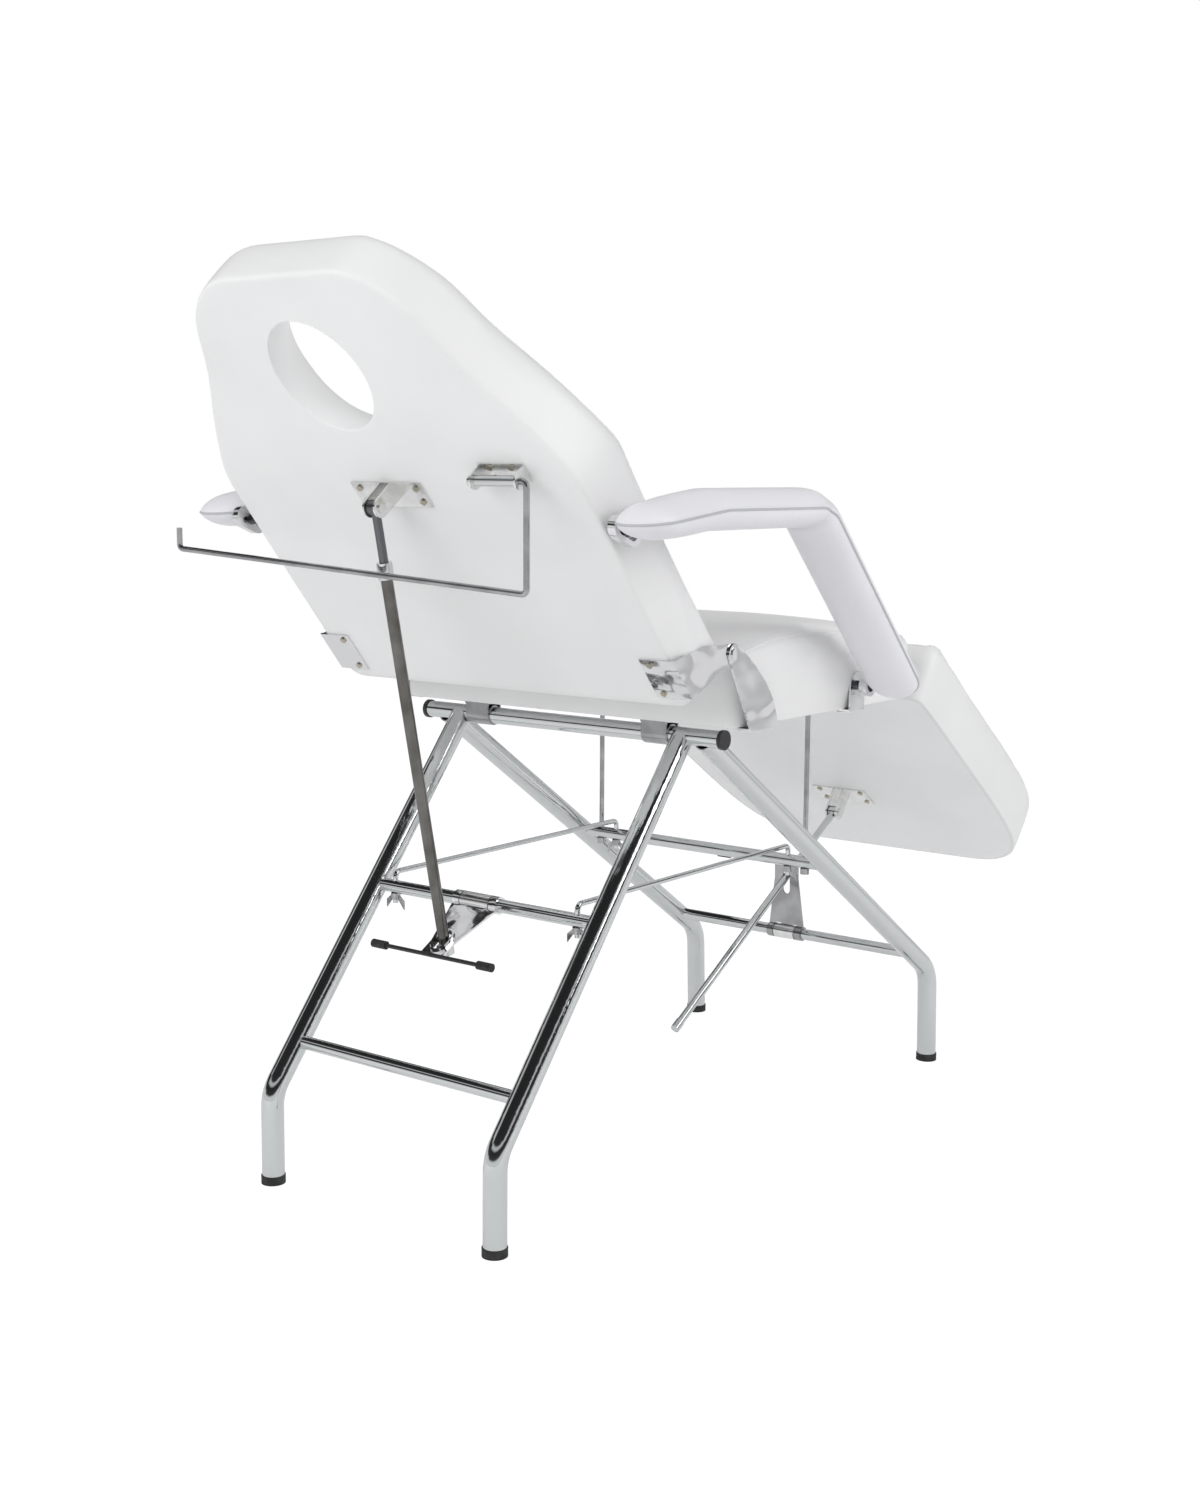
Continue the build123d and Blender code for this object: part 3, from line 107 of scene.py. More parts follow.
def studio_world():
    """World that is white for the camera, soft grey for light, and banded by height for mirror rays."""
    world = bpy.data.worlds.new("studio_sky")
    world.use_nodes = True
    tree = world.node_tree
    tree.nodes.clear()
    out = tree.nodes.new("ShaderNodeOutputWorld")
    white = tree.nodes.new("ShaderNodeBackground")
    white.inputs["Color"].default_value = (1, 1, 1, 1)
    sky = tree.nodes.new("ShaderNodeBackground")
    mirror_sky = tree.nodes.new("ShaderNodeBackground")
    path = tree.nodes.new("ShaderNodeLightPath")
    place = tree.nodes.new("ShaderNodeTexCoord")
    split = tree.nodes.new("ShaderNodeSeparateXYZ")
    band = tree.nodes.new("ShaderNodeValToRGB")
    tree.links.new(place.outputs["Generated"], split.inputs["Vector"])
    tree.links.new(split.outputs["Z"], band.inputs["Fac"])
    ramp = band.color_ramp
    ramp.elements[0].position, ramp.elements[0].color = 0.0, (0.80, 0.80, 0.81, 1)
    ramp.elements[1].position, ramp.elements[1].color = 1.0, (0.05, 0.05, 0.055, 1)
    for spot, tone in sky_steps:
        step = ramp.elements.new(spot)
        step.color = (tone, tone, tone * 1.02, 1)
    tree.links.new(band.outputs["Color"], mirror_sky.inputs["Color"])
    mirror_sky.inputs["Strength"].default_value = 1.0
    sky.inputs["Color"].default_value = (0.985, 0.99, 1.0, 1)
    sky.inputs["Strength"].default_value = 0.60
    seen = tree.nodes.new("ShaderNodeMixShader")
    mirrored = tree.nodes.new("ShaderNodeMixShader")
    tree.links.new(path.outputs["Is Glossy Ray"], mirrored.inputs["Fac"])
    tree.links.new(sky.outputs["Background"], mirrored.inputs[1])
    tree.links.new(mirror_sky.outputs["Background"], mirrored.inputs[2])
    tree.links.new(path.outputs["Is Camera Ray"], seen.inputs["Fac"])
    tree.links.new(mirrored.outputs["Shader"], seen.inputs[1])
    tree.links.new(white.outputs["Background"], seen.inputs[2])
    tree.links.new(seen.outputs["Shader"], out.inputs["Surface"])
    return world


scene.world = studio_world()
print("sky with", len(sky_steps) + 2, "bands for mirrors")

# %% [markdown]
# ## The floor
# A floor that only glows has no shadow, and one that is only lit never gets as
# white as the background. This one mixes the two: the camera sees mostly glow
# with a share of plain matte white, and the matte white takes the shadow of the
# feet. Light that bounces sees only the matte white.


# %% Make the floor
floor_reach = 9.0


def studio_floor():
    """Large pale floor: a white glow for the camera, and a share of plain white that takes the shadow."""
    reach = floor_reach
    corners = [(-reach, -reach, 0.0), (reach, -reach, 0.0), (reach, reach, 0.0), (-reach, reach, 0.0)]
    mesh = bpy.data.meshes.new("studio_floor")
    mesh.from_pydata(corners, [], [(0, 1, 2, 3)])
    floor = bpy.data.objects.new("studio_floor", mesh)
    scene.collection.objects.link(floor)
    paper = bpy.data.materials.new("floor_paper")
    paper.use_nodes = True
    tree = paper.node_tree
    tree.nodes.clear()
    out = tree.nodes.new("ShaderNodeOutputMaterial")
    glow = tree.nodes.new("ShaderNodeEmission")
    glow.inputs["Color"].default_value = (1, 1, 1, 1)
    glow.inputs["Strength"].default_value = 1.10
    matte = tree.nodes.new("ShaderNodeBsdfDiffuse")
    matte.inputs["Color"].default_value = (0.9, 0.9, 0.9, 1)
    blend = tree.nodes.new("ShaderNodeMixShader")
    path = tree.nodes.new("ShaderNodeLightPath")
    share = tree.nodes.new("ShaderNodeMath")
    share.operation = "MULTIPLY"
    share.inputs[1].default_value = 0.86
    tree.links.new(path.outputs["Is Camera Ray"], share.inputs[0])
    tree.links.new(share.outputs["Value"], blend.inputs["Fac"])
    tree.links.new(matte.outputs["BSDF"], blend.inputs[1])
    tree.links.new(glow.outputs["Emission"], blend.inputs[2])
    tree.links.new(blend.outputs["Shader"], out.inputs["Surface"])
    mesh.materials.append(paper)
    return floor


floor = studio_floor()
print("floor", floor.name, "is", 2 * floor_reach, "m wide")

# %% [markdown]
# ## The lamps
# Three large square lamps stand for studio soft boxes: one at the near side, one
# behind the head end and one over the foot end. Small lamps would give hard
# shadows and bright dots. A lamp can be hidden from mirror rays, so that it
# lights the covers and leaves the chrome dark.


# %% Make the lamps
def soft_lamp(name, place, target, size, watts, mirrored=True):
    """Square area lamp that faces its target; without mirrored it lights the bed but no mirror shows it."""
    data = bpy.data.lights.new(name, "AREA")
    data.size = size
    data.energy = watts
    lamp = bpy.data.objects.new(name, data)
    scene.collection.objects.link(lamp)
    away = np.array(place, float) - np.array(target, float)
    away /= np.linalg.norm(away)
    side = np.cross([0.0, 0.0, 1.0], away)
    side /= np.linalg.norm(side)
    turn = np.eye(4)
    turn[:3, 0], turn[:3, 1], turn[:3, 2], turn[:3, 3] = side, np.cross(away, side), away, place
    lamp.matrix_world = Matrix(turn.tolist())
    lamp.visible_glossy = mirrored
    return lamp


lamps = [soft_lamp("window_lamp", (-3.2, -0.4, 2.6), (0, 0, 0.7), 2.2, 42),
         soft_lamp("head_lamp", (0.4, 3.6, 2.4), (0, 0.2, 0.8), 2.4, 52, mirrored=False),
         soft_lamp("foot_lamp", (1.8, -3.2, 2.8), (0, -0.2, 0.6), 2.2, 34, mirrored=False)]
print("lamps in watts", {lamp.name: lamp.data.energy for lamp in lamps})

# %% [markdown]
# ## Finishes for the hard parts
# Real chrome is never one flat grey: the polish leaves a faint swirl and the
# edges catch light. Each metal gets its own base tone and roughness, and a fine
# noise bends the normal a little. The same helper sets plain values on the
# shader's own sockets, and only patterns that vary come through nodes.


# %% Helpers for finishes
def new_finish(name, colour, metallic, roughness, **sockets):
    """Material with a Principled shader whose plain values are set on its own sockets."""
    finish = bpy.data.materials.new(name)
    finish.use_nodes = True
    shader = finish.node_tree.nodes["Principled BSDF"]
    shader.inputs["Base Color"].default_value = (*colour, 1)
    shader.inputs["Metallic"].default_value = metallic
    shader.inputs["Roughness"].default_value = roughness
    for socket, value in sockets.items():
        shader.inputs[socket.replace("_", " ")].default_value = value
    return finish


def place_vector(finish):
    """Object coordinates, in metres, for the patterns of a finish."""
    return finish.node_tree.nodes.new("ShaderNodeTexCoord").outputs["Object"]


def add_noise_bump(finish, scale, strength, depth, detail=3.0):
    """Fine unevenness: noise of that many cells per metre raised by depth metres."""
    tree = finish.node_tree
    noise = tree.nodes.new("ShaderNodeTexNoise")
    noise.inputs["Scale"].default_value = scale
    noise.inputs["Detail"].default_value = detail
    tree.links.new(place_vector(finish), noise.inputs["Vector"])
    bump = tree.nodes.new("ShaderNodeBump")
    bump.inputs["Strength"].default_value = strength
    bump.inputs["Distance"].default_value = depth
    tree.links.new(noise.outputs["Fac"], bump.inputs["Height"])
    shader = tree.nodes["Principled BSDF"]
    if shader.inputs["Normal"].is_linked:
        tree.links.new(shader.inputs["Normal"].links[0].from_socket, bump.inputs["Normal"])
    tree.links.new(bump.outputs["Normal"], shader.inputs["Normal"])


def add_tone_change(finish, scale, low, high, detail=2.0):
    """Base colour that drifts between two tones with noise of that scale."""
    tree = finish.node_tree
    noise = tree.nodes.new("ShaderNodeTexNoise")
    noise.inputs["Scale"].default_value = scale
    noise.inputs["Detail"].default_value = detail
    tree.links.new(place_vector(finish), noise.inputs["Vector"])
    ramp = tree.nodes.new("ShaderNodeValToRGB")
    ramp.color_ramp.elements[0].position = 0.35
    ramp.color_ramp.elements[1].position = 0.65
    ramp.color_ramp.elements[0].color = (*low, 1)
    ramp.color_ramp.elements[1].color = (*high, 1)
    tree.links.new(noise.outputs["Fac"], ramp.inputs["Fac"])
    tree.links.new(ramp.outputs["Color"], tree.nodes["Principled BSDF"].inputs["Base Color"])


def add_roughness_change(finish, scale, low, high):
    """Roughness that drifts between two values, as wiped and handled metal has."""
    tree = finish.node_tree
    noise = tree.nodes.new("ShaderNodeTexNoise")
    noise.inputs["Scale"].default_value = scale
    noise.inputs["Detail"].default_value = 3.0
    tree.links.new(place_vector(finish), noise.inputs["Vector"])
    span = tree.nodes.new("ShaderNodeMapRange")
    span.inputs["From Min"].default_value = 0.3
    span.inputs["From Max"].default_value = 0.7
    span.inputs["To Min"].default_value = low
    span.inputs["To Max"].default_value = high
    tree.links.new(noise.outputs["Fac"], span.inputs["Value"])
    tree.links.new(span.outputs["Result"], tree.nodes["Principled BSDF"].inputs["Roughness"])


print("helpers for noise bump, tone and roughness are ready")

# %% [markdown]
# ## The metals
# The legs are bright chrome on tube. The hinge plates are chromed sheet, which
# was bent after it was cut, so its mirror is uneven: a slow, deep bump breaks
# the reflections into streaks. Rods are plated more thinly. Brackets are zinc
# plated, which is softer and slightly mottled, and the screws are yellow zinc.

# %% Make the metals
finishes = {}
chrome_tube = new_finish("chrome_tube", (0.66, 0.68, 0.68), 1.0, 0.07)
add_roughness_change(chrome_tube, 26.0, 0.04, 0.11)
add_noise_bump(chrome_tube, 55.0, 0.06, 0.0008)
finishes["chrome_tube"] = chrome_tube

chrome_plate = new_finish("chrome_plate", (0.80, 0.80, 0.81), 1.0, 0.09)
add_roughness_change(chrome_plate, 60.0, 0.05, 0.14)
add_noise_bump(chrome_plate, 16.0, 1.0, 0.009, detail=1.0)
finishes["chrome_plate"] = chrome_plate

rod_steel = new_finish("rod_steel", (0.40, 0.40, 0.41), 1.0, 0.14)
add_roughness_change(rod_steel, 70.0, 0.10, 0.22)
add_tone_change(rod_steel, 30.0, (0.34, 0.34, 0.35), (0.46, 0.46, 0.47))

strut_steel = new_finish("strut_steel", (0.15, 0.145, 0.135), 1.0, 0.20)
add_roughness_change(strut_steel, 80.0, 0.14, 0.28)
add_tone_change(strut_steel, 24.0, (0.12, 0.116, 0.107), (0.19, 0.185, 0.175))

dark_steel = new_finish("dark_steel", (0.16, 0.16, 0.17), 1.0, 0.22)
add_roughness_change(dark_steel, 90.0, 0.16, 0.30)
finishes["dark_steel"] = dark_steel

zinc = new_finish("zinc", (0.80, 0.80, 0.79), 1.0, 0.20)
add_tone_change(zinc, 60.0, (0.76, 0.76, 0.75), (0.86, 0.86, 0.85))
add_roughness_change(zinc, 90.0, 0.15, 0.27)
add_noise_bump(zinc, 320.0, 0.05, 0.0003)
finishes["zinc"] = zinc

yellow_zinc = new_finish("yellow_zinc", (0.50, 0.46, 0.36), 1.0, 0.30)
add_tone_change(yellow_zinc, 260.0, (0.44, 0.40, 0.31), (0.58, 0.55, 0.46))
finishes["yellow_zinc"] = yellow_zinc

dark_bolt = new_finish("dark_bolt", (0.12, 0.12, 0.13), 1.0, 0.30)
add_roughness_change(dark_bolt, 200.0, 0.24, 0.42)
finishes["dark_bolt"] = dark_bolt

print("metals", sorted(finishes))

# %% [markdown]
# ## Rubber, plastic and paint
# Grips and feet are matte rubber with a fine grain, the tube's end caps are
# moulded plastic, and the lever bars are painted black. None of them is a true
# black: dust and wear lift the tone a little.

# %% Make the black finishes
black_rubber = new_finish("black_rubber", (0.018, 0.018, 0.019), 0.0, 0.62)
add_tone_change(black_rubber, 120.0, (0.014, 0.014, 0.015), (0.030, 0.030, 0.031))
add_noise_bump(black_rubber, 700.0, 0.25, 0.0002)
finishes["black_rubber"] = black_rubber

black_plastic = new_finish("black_plastic", (0.02, 0.02, 0.022), 0.0, 0.40)
add_roughness_change(black_plastic, 160.0, 0.32, 0.50)
add_noise_bump(black_plastic, 900.0, 0.12, 0.0001)
finishes["black_plastic"] = black_plastic

black_bar = new_finish("black_bar", (0.022, 0.022, 0.025), 0.0, 0.34)
add_roughness_change(black_bar, 120.0, 0.26, 0.44)
finishes["black_bar"] = black_bar
print("hard finishes", sorted(finishes))

# %% [markdown]
# ## The covers
# The covers are smooth white vinyl over foam. Up close vinyl has a fine grain
# of small cells with soft creases between them, and its gloss drifts where it
# is stretched. The boards behind are covered in the same vinyl pulled flat, and
# look cooler and plainer. The leg rest's underside gets a brighter copy of that
# cover, which is painted light for the light that reaches it from below. The
# armrests have a faint lilac tint, and their piping is a darker grey, which is
# painted shade for the shadow in the creases beside it.


# %% Make the vinyl finishes
def vinyl(name, colour, grain, roughness):
    """White vinyl: Voronoi cells make the grain, wide noise makes the slow change of tone and gloss."""
    finish = new_finish(name, colour, 0.0, roughness, Coat_Weight=0.06, Coat_Roughness=0.35)
    low = tuple(c * 0.975 for c in colour)
    high = tuple(min(1.0, c * 1.015) for c in colour)
    add_tone_change(finish, 5.0, low, high)
    add_roughness_change(finish, 9.0, roughness - 0.05, roughness + 0.07)
    tree = finish.node_tree
    cells = tree.nodes.new("ShaderNodeTexVoronoi")
    cells.feature = "SMOOTH_F1"
    cells.inputs["Scale"].default_value = grain
    tree.links.new(place_vector(finish), cells.inputs["Vector"])
    bump = tree.nodes.new("ShaderNodeBump")
    bump.inputs["Strength"].default_value = 0.16
    bump.inputs["Distance"].default_value = 0.0004
    bump.invert = True
    tree.links.new(cells.outputs["Distance"], bump.inputs["Height"])
    tree.links.new(bump.outputs["Normal"], tree.nodes["Principled BSDF"].inputs["Normal"])
    add_noise_bump(finish, 14.0, 0.10, 0.004)
    return finish


finishes["white_vinyl"] = vinyl("white_vinyl", (0.83, 0.83, 0.83), 850.0, 0.42)
finishes["board_cover"] = vinyl("board_cover", (0.835, 0.838, 0.84), 900.0, 0.48)
finishes["armrest_vinyl"] = vinyl("armrest_vinyl", (0.825, 0.82, 0.85), 850.0, 0.40)
# Darker grey for the armrests' piping: painted shade that stands in for the shadow in the creases beside it.
piping_painted_shade = vinyl("piping_painted_shade", (0.52, 0.52, 0.55), 850.0, 0.55)
hole_cover = vinyl("hole_cover", (0.83, 0.835, 0.835), 800.0, 0.5)
# The leg rest's underside cover is brighter than board_cover: painted light that stands in for light from
# below.
covers = {"board_cover": finishes["board_cover"],
          "leg_underside_painted_light": vinyl("leg_underside_painted_light", (0.90, 0.90, 0.905), 900.0, 0.48)}
print("vinyl finishes ready")

# %% [markdown]
# ## Dress the nodes
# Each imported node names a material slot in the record. Putting the finish into
# the object's own slots keeps the mesh as it is. The thin rods, the wing nuts,
# the saddles and one lever plate are plated more thinly than the legs and look a
# shade darker, and the backrest's strut is darker still.

# %% Give every node its finish
slots = {part["node"]: part["material_slot"] for part in frame["record"]["subparts"]}
duller_nodes = ("seat_support_rods", "paper_roll_rod", "wing_nuts", "tube_saddles", "front_lever_plate")
for name, node in nodes.items():
    finish = rod_steel if name in duller_nodes else finishes[slots[name]]
    finish = strut_steel if name == "back_strut_tube" else finish
    if not node.material_slots:
        node.data.materials.append(finish)
    for holder in node.material_slots:
        holder.link = "OBJECT"
        holder.material = finish
print("dressed", len(nodes), "nodes")

# %% [markdown]
# ## Outlines
# A padded piece starts from the outline of its board. Half an outline is typed
# as a few points, a smooth line runs through them, arcs make the corners, and a
# mirror image completes it. It is then resampled evenly, because a cloth run
# wants faces of one size. Bezier curves could do the same by hand.


# %% Helpers for outlines
def smooth_line(points, start_dir, end_dir, count):
    """Clamped cubic spline through the points by chord length, with the given directions at its ends."""
    points = np.array(points, float)
    gaps = np.linalg.norm(np.diff(points, axis=0), axis=1)
    knots = np.concatenate([[0.0], np.cumsum(gaps)])
    n = len(points)
    matrix = np.zeros((n, n))
    right_side = np.zeros((n, 2))
    matrix[0, 0] = matrix[-1, -1] = 1.0
    right_side[0] = np.array(start_dir, float)
    right_side[-1] = np.array(end_dir, float)
    rows = np.arange(1, n - 1)
    h0, h1 = gaps[:-1], gaps[1:]
    matrix[rows, rows - 1] = 1 / h0
    matrix[rows, rows] = 2 * (1 / h0 + 1 / h1)
    matrix[rows, rows + 1] = 1 / h1
    slope = np.diff(points, axis=0) / (gaps**2)[:, None]
    right_side[1:-1] = 3 * (slope[:-1] + slope[1:])
    speed = np.linalg.solve(matrix, right_side)
    at = np.linspace(0, knots[-1], count)
    k = np.clip(np.searchsorted(knots, at, side="right") - 1, 0, n - 2)
    h = gaps[k][:, None]
    t = ((at - knots[k]) / gaps[k])[:, None]
    a = (1 + 2 * t) * (1 - t) ** 2
    b = t * (1 - t) ** 2
    c = t**2 * (3 - 2 * t)
    d = t**2 * (t - 1)
    return a * points[k] + b * h * speed[k] + c * points[k + 1] + d * h * speed[k + 1]


def even_ring(line, count):
    """Closed line resampled to that many points at equal distances along it."""
    closed = np.vstack([line, line[:1]])
    run = np.concatenate([[0.0], np.cumsum(np.linalg.norm(np.diff(closed, axis=0), axis=1))])
    at = np.linspace(0, run[-1], count, endpoint=False)
    return np.stack([np.interp(at, run, closed[:, i]) for i in range(closed.shape[1])], axis=1)


def outward(ring):
    """Unit normals that point out of a ring that runs anticlockwise: the tangent turned by a right angle."""
    tangent = np.roll(ring, -1, axis=0) - np.roll(ring, 1, axis=0)
    tangent /= np.linalg.norm(tangent, axis=1)[:, None]
    return np.stack([tangent[:, 1], -tangent[:, 0]], axis=1)


def corner(centre, radius, start_deg, end_deg, count=12):
    """Arc of a circle from one angle to another."""
    angle = np.radians(np.linspace(start_deg, end_deg, count))
    return np.stack([centre[0] + radius * np.cos(angle), centre[1] + radius * np.sin(angle)], axis=1)


def mirrored(half):
    """Right half of an outline, from the bottom middle to the top middle, joined to its mirror image."""
    left = half[::-1] * np.array([-1.0, 1.0])
    return np.vstack([half, left[1:-1]])


print("a quarter arc of 20 mm is", round(float(np.linalg.norm(
    np.diff(corner((0, 0), 0.020, 0, 90), axis=0), axis=1).sum()) * 1000, 1), "mm long")

# %% [markdown]
# ## Surfaces from grids
# Every ring of a padded piece follows the outline, moved inwards by some
# distance and lifted to some height. Stacking the rings from the back face
# round the side to the front gives one closed skin of neat four-sided faces,
# which bends better in a cloth run than loose triangles.


# %% Helpers for meshes
def grid_faces(rings, count, closed_rings):
    """Four-sided faces of a grid of rings; with closed_rings the last ring joins the first."""
    i, j = np.meshgrid(np.arange(rings if closed_rings else rings - 1), np.arange(count), indexing="ij")
    i2, j2 = (i + 1) % rings, (j + 1) % count
    faces = np.stack([i * count + j, i * count + j2, i2 * count + j2, i2 * count + j], axis=-1)
    return faces.reshape(-1, 4)


def new_mesh(name, points, faces, fans=()):
    """Mesh object from arrays: quads from a grid, and fans of triangles that close its poles."""
    quads = [tuple(face) for face in np.asarray(faces).tolist()]
    tris = [tuple(face) for fan in fans for face in np.asarray(fan).tolist()]
    mesh = bpy.data.meshes.new(name)
    mesh.from_pydata(np.asarray(points).tolist(), [], quads + tris)
    mesh.update()
    piece = bpy.data.objects.new(name, mesh)
    scene.collection.objects.link(piece)
    mesh.polygons.foreach_set("use_smooth", np.ones(len(mesh.polygons), bool))
    return piece


def face_out(piece):
    """Turn all faces outwards if the signed volume of the closed mesh is negative."""
    mesh = piece.data
    mesh.calc_loop_triangles()
    points = np.empty(len(mesh.vertices) * 3)
    mesh.vertices.foreach_get("co", points)
    points = points.reshape(-1, 3)
    tris = np.empty(len(mesh.loop_triangles) * 3, np.int32)
    mesh.loop_triangles.foreach_get("vertices", tris)
    a, b, c = (points[tris.reshape(-1, 3)[:, k]] for k in range(3))
    volume = float(np.einsum("ij,ij->i", a, np.cross(b, c)).sum() / 6)
    if volume < 0:
        mesh.flip_normals()


print("a grid of 3 rings of 4 points has", len(grid_faces(3, 4, False)), "faces")


# %% [markdown]
# ## Let the padding swell
# Foam under vinyl is slightly fuller between its edges. A short cloth run with
# air pressure gives that fullness: the skin starts a little small, the edges at
# the board are pinned, and after twenty frames each point keeps its new place,
# but no further away than a cap. The result is written into the mesh, so no
# cloth is left on the piece.


# %% Helper for the cloth run
cloth_frames = 20
hold_levels = 20


def swell(piece, hold, pressure, cap):
    """Run cloth with pressure, pinned by the hold weights; a move is kept as the cap times the hyperbolic
    tangent of move over cap, so that it never passes the cap. Returns the largest move before that."""
    count = len(piece.data.vertices)
    start = np.empty(count * 3)
    piece.data.vertices.foreach_get("co", start)
    start = start.reshape(-1, 3)
    group = piece.vertex_groups.new(name="held")
    levels = np.round(hold * hold_levels).astype(int)
    for level in np.unique(levels):
        if level > 0:
            group.add(np.flatnonzero(levels == level).tolist(), float(level) / hold_levels, "REPLACE")
    cloth = piece.modifiers.new("swell", "CLOTH")
    settings = cloth.settings
    settings.quality = 5
    settings.mass = 0.4
    settings.tension_stiffness = 25
    settings.compression_stiffness = 25
    settings.shear_stiffness = 12
    settings.bending_stiffness = 4
    settings.use_pressure = True
    settings.uniform_pressure_force = pressure
    settings.vertex_group_mass = "held"
    settings.effector_weights.gravity = 0
    cloth.collision_settings.use_collision = False
    cloth.collision_settings.use_self_collision = False
    cloth.point_cache.frame_start = 1
    cloth.point_cache.frame_end = cloth_frames
    for step in range(1, cloth_frames + 1):
        scene.frame_set(step)
    seen = piece.evaluated_get(bpy.context.evaluated_depsgraph_get())
    end = np.empty(count * 3)
    seen.data.vertices.foreach_get("co", end)
    end = end.reshape(-1, 3)
    piece.modifiers.remove(cloth)
    scene.frame_set(1)
    move = end - start
    size = np.linalg.norm(move, axis=1)[:, None]
    kept = start + move * np.where(size > 1e-9, cap * np.tanh(size / cap) / np.maximum(size, 1e-9), 0)
    piece.data.vertices.foreach_set("co", kept.ravel())
    piece.data.update()
    piece.vertex_groups.clear()
    return float(size.max())


def soften(piece, levels=1):
    """Subdivision Surface, with the same number of levels in the view and in the render."""
    smooth = piece.modifiers.new("soften", "SUBSURF")
    smooth.levels = levels
    smooth.render_levels = levels


print("cloth runs for", cloth_frames, "frames a piece, and not at all in quick mode")

# %% [markdown]
# ## Welts
# Where two panels of vinyl meet, the seam shows as a thin raised line. It is a
# small tube carried along one ring of the finished skin, half sunk into it, so
# it follows every bulge that the cloth run gave.


# %% Helper for welts
welt_sides = 8


def welt(name, path, radius, body, finish):
    """Closed tube: each point of the path plus radius times the cosine and sine of two side vectors."""
    tangent = np.roll(path, -1, axis=0) - np.roll(path, 1, axis=0)
    tangent /= np.linalg.norm(tangent, axis=1)[:, None]
    first = path - path.mean(axis=0)
    first -= (first * tangent).sum(axis=1)[:, None] * tangent
    first /= np.linalg.norm(first, axis=1)[:, None]
    second = np.cross(tangent, first)
    angle = np.linspace(0, 2 * np.pi, welt_sides, endpoint=False)
    ring = first[:, None] * np.cos(angle)[None, :, None] + second[:, None] * np.sin(angle)[None, :, None]
    points = (path[:, None] + radius * ring).reshape(-1, 3)
    piece = new_mesh(name, points, grid_faces(len(path), welt_sides, True))
    piece.data.materials.append(finish)
    face_out(piece)
    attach(piece, body)
    print(name, "runs for", round(float(np.linalg.norm(np.diff(path, axis=0), axis=1).sum()), 2), "m")
    return piece


print("a welt is a tube with", welt_sides, "sides")

# %% [markdown]
# ## The backrest cover
# The backrest is one board and one foam pad under the same vinyl, with an oval
# face hole through both. Its skin is a ring doughnut: from the hole's back edge
# over the flat back, round the side, over the rounded front rim, across the
# crowned front and back down the wall of the hole. The outline is straight
# below, then curves in to a narrower head end.

# %% Backrest measures
back_tilt = math.radians(50.6)
hinge_place = np.array([0.0, 0.294, 0.756])
back_up = np.array([0.0, math.cos(back_tilt), math.sin(back_tilt)])
back_out = np.array([0.0, -math.sin(back_tilt), math.cos(back_tilt)])
back_depth = 0.104
back_half, back_low, back_high, back_corner = 0.313, -0.003, 0.692, 0.024
hole_middle = np.array([0.016, 0.543])
hole_size = np.array([0.075, 0.083])


def backrest_outline(count):
    """Half outline: flat foot, arc, straight side, spline through the shoulder, flat head; then mirrored."""
    r = back_corner
    arc = corner((back_half - r, back_low + r), r, -90, 0)
    shoulder = [(back_half, 0.341), (0.312, 0.374), (0.293, 0.427), (0.257, 0.493), (0.209, 0.577),
                (0.186, 0.628), (0.150, 0.668), (0.086, back_high)]
    side = smooth_line(shoulder, (0, 1), (-1, 0), 90)
    half = np.vstack([[(0.0, back_low)], arc, side, [(0.0, back_high)]])
    return even_ring(mirrored(half), count)


print("backrest", 2 * back_half, "m wide,", back_high - back_low, "m long, hole", 2 * hole_size, "m")


# %% [markdown]
# ## Rings of a padded piece
# One helper makes the rings for every pad. It takes the outline, the heights of
# the back and the front, the radii of the two edges, how far the side bulges
# and how high the crown rises. Where there is a hole, the rings end on the
# hole's edge instead of in the middle, and its lip is a wide soft quarter
# ellipse, wider towards the foot end, over a short straight wall.


# %% Helper for padded skins
back_shares = (0, 0.015, 0.10, 0.24, 0.38, 0.52, 0.66, 0.80, 0.92)
back_turns = (0, 30, 60, 90)
side_rings, rim_rings, front_rings = 8, 8, 24
lip_turns = (15, 30, 45, 60, 75, 90)
wall_shares = (0.3, 0.6, 0.92)
lip_least, hole_dish, pole_share = 0.018, 0.016, 0.02


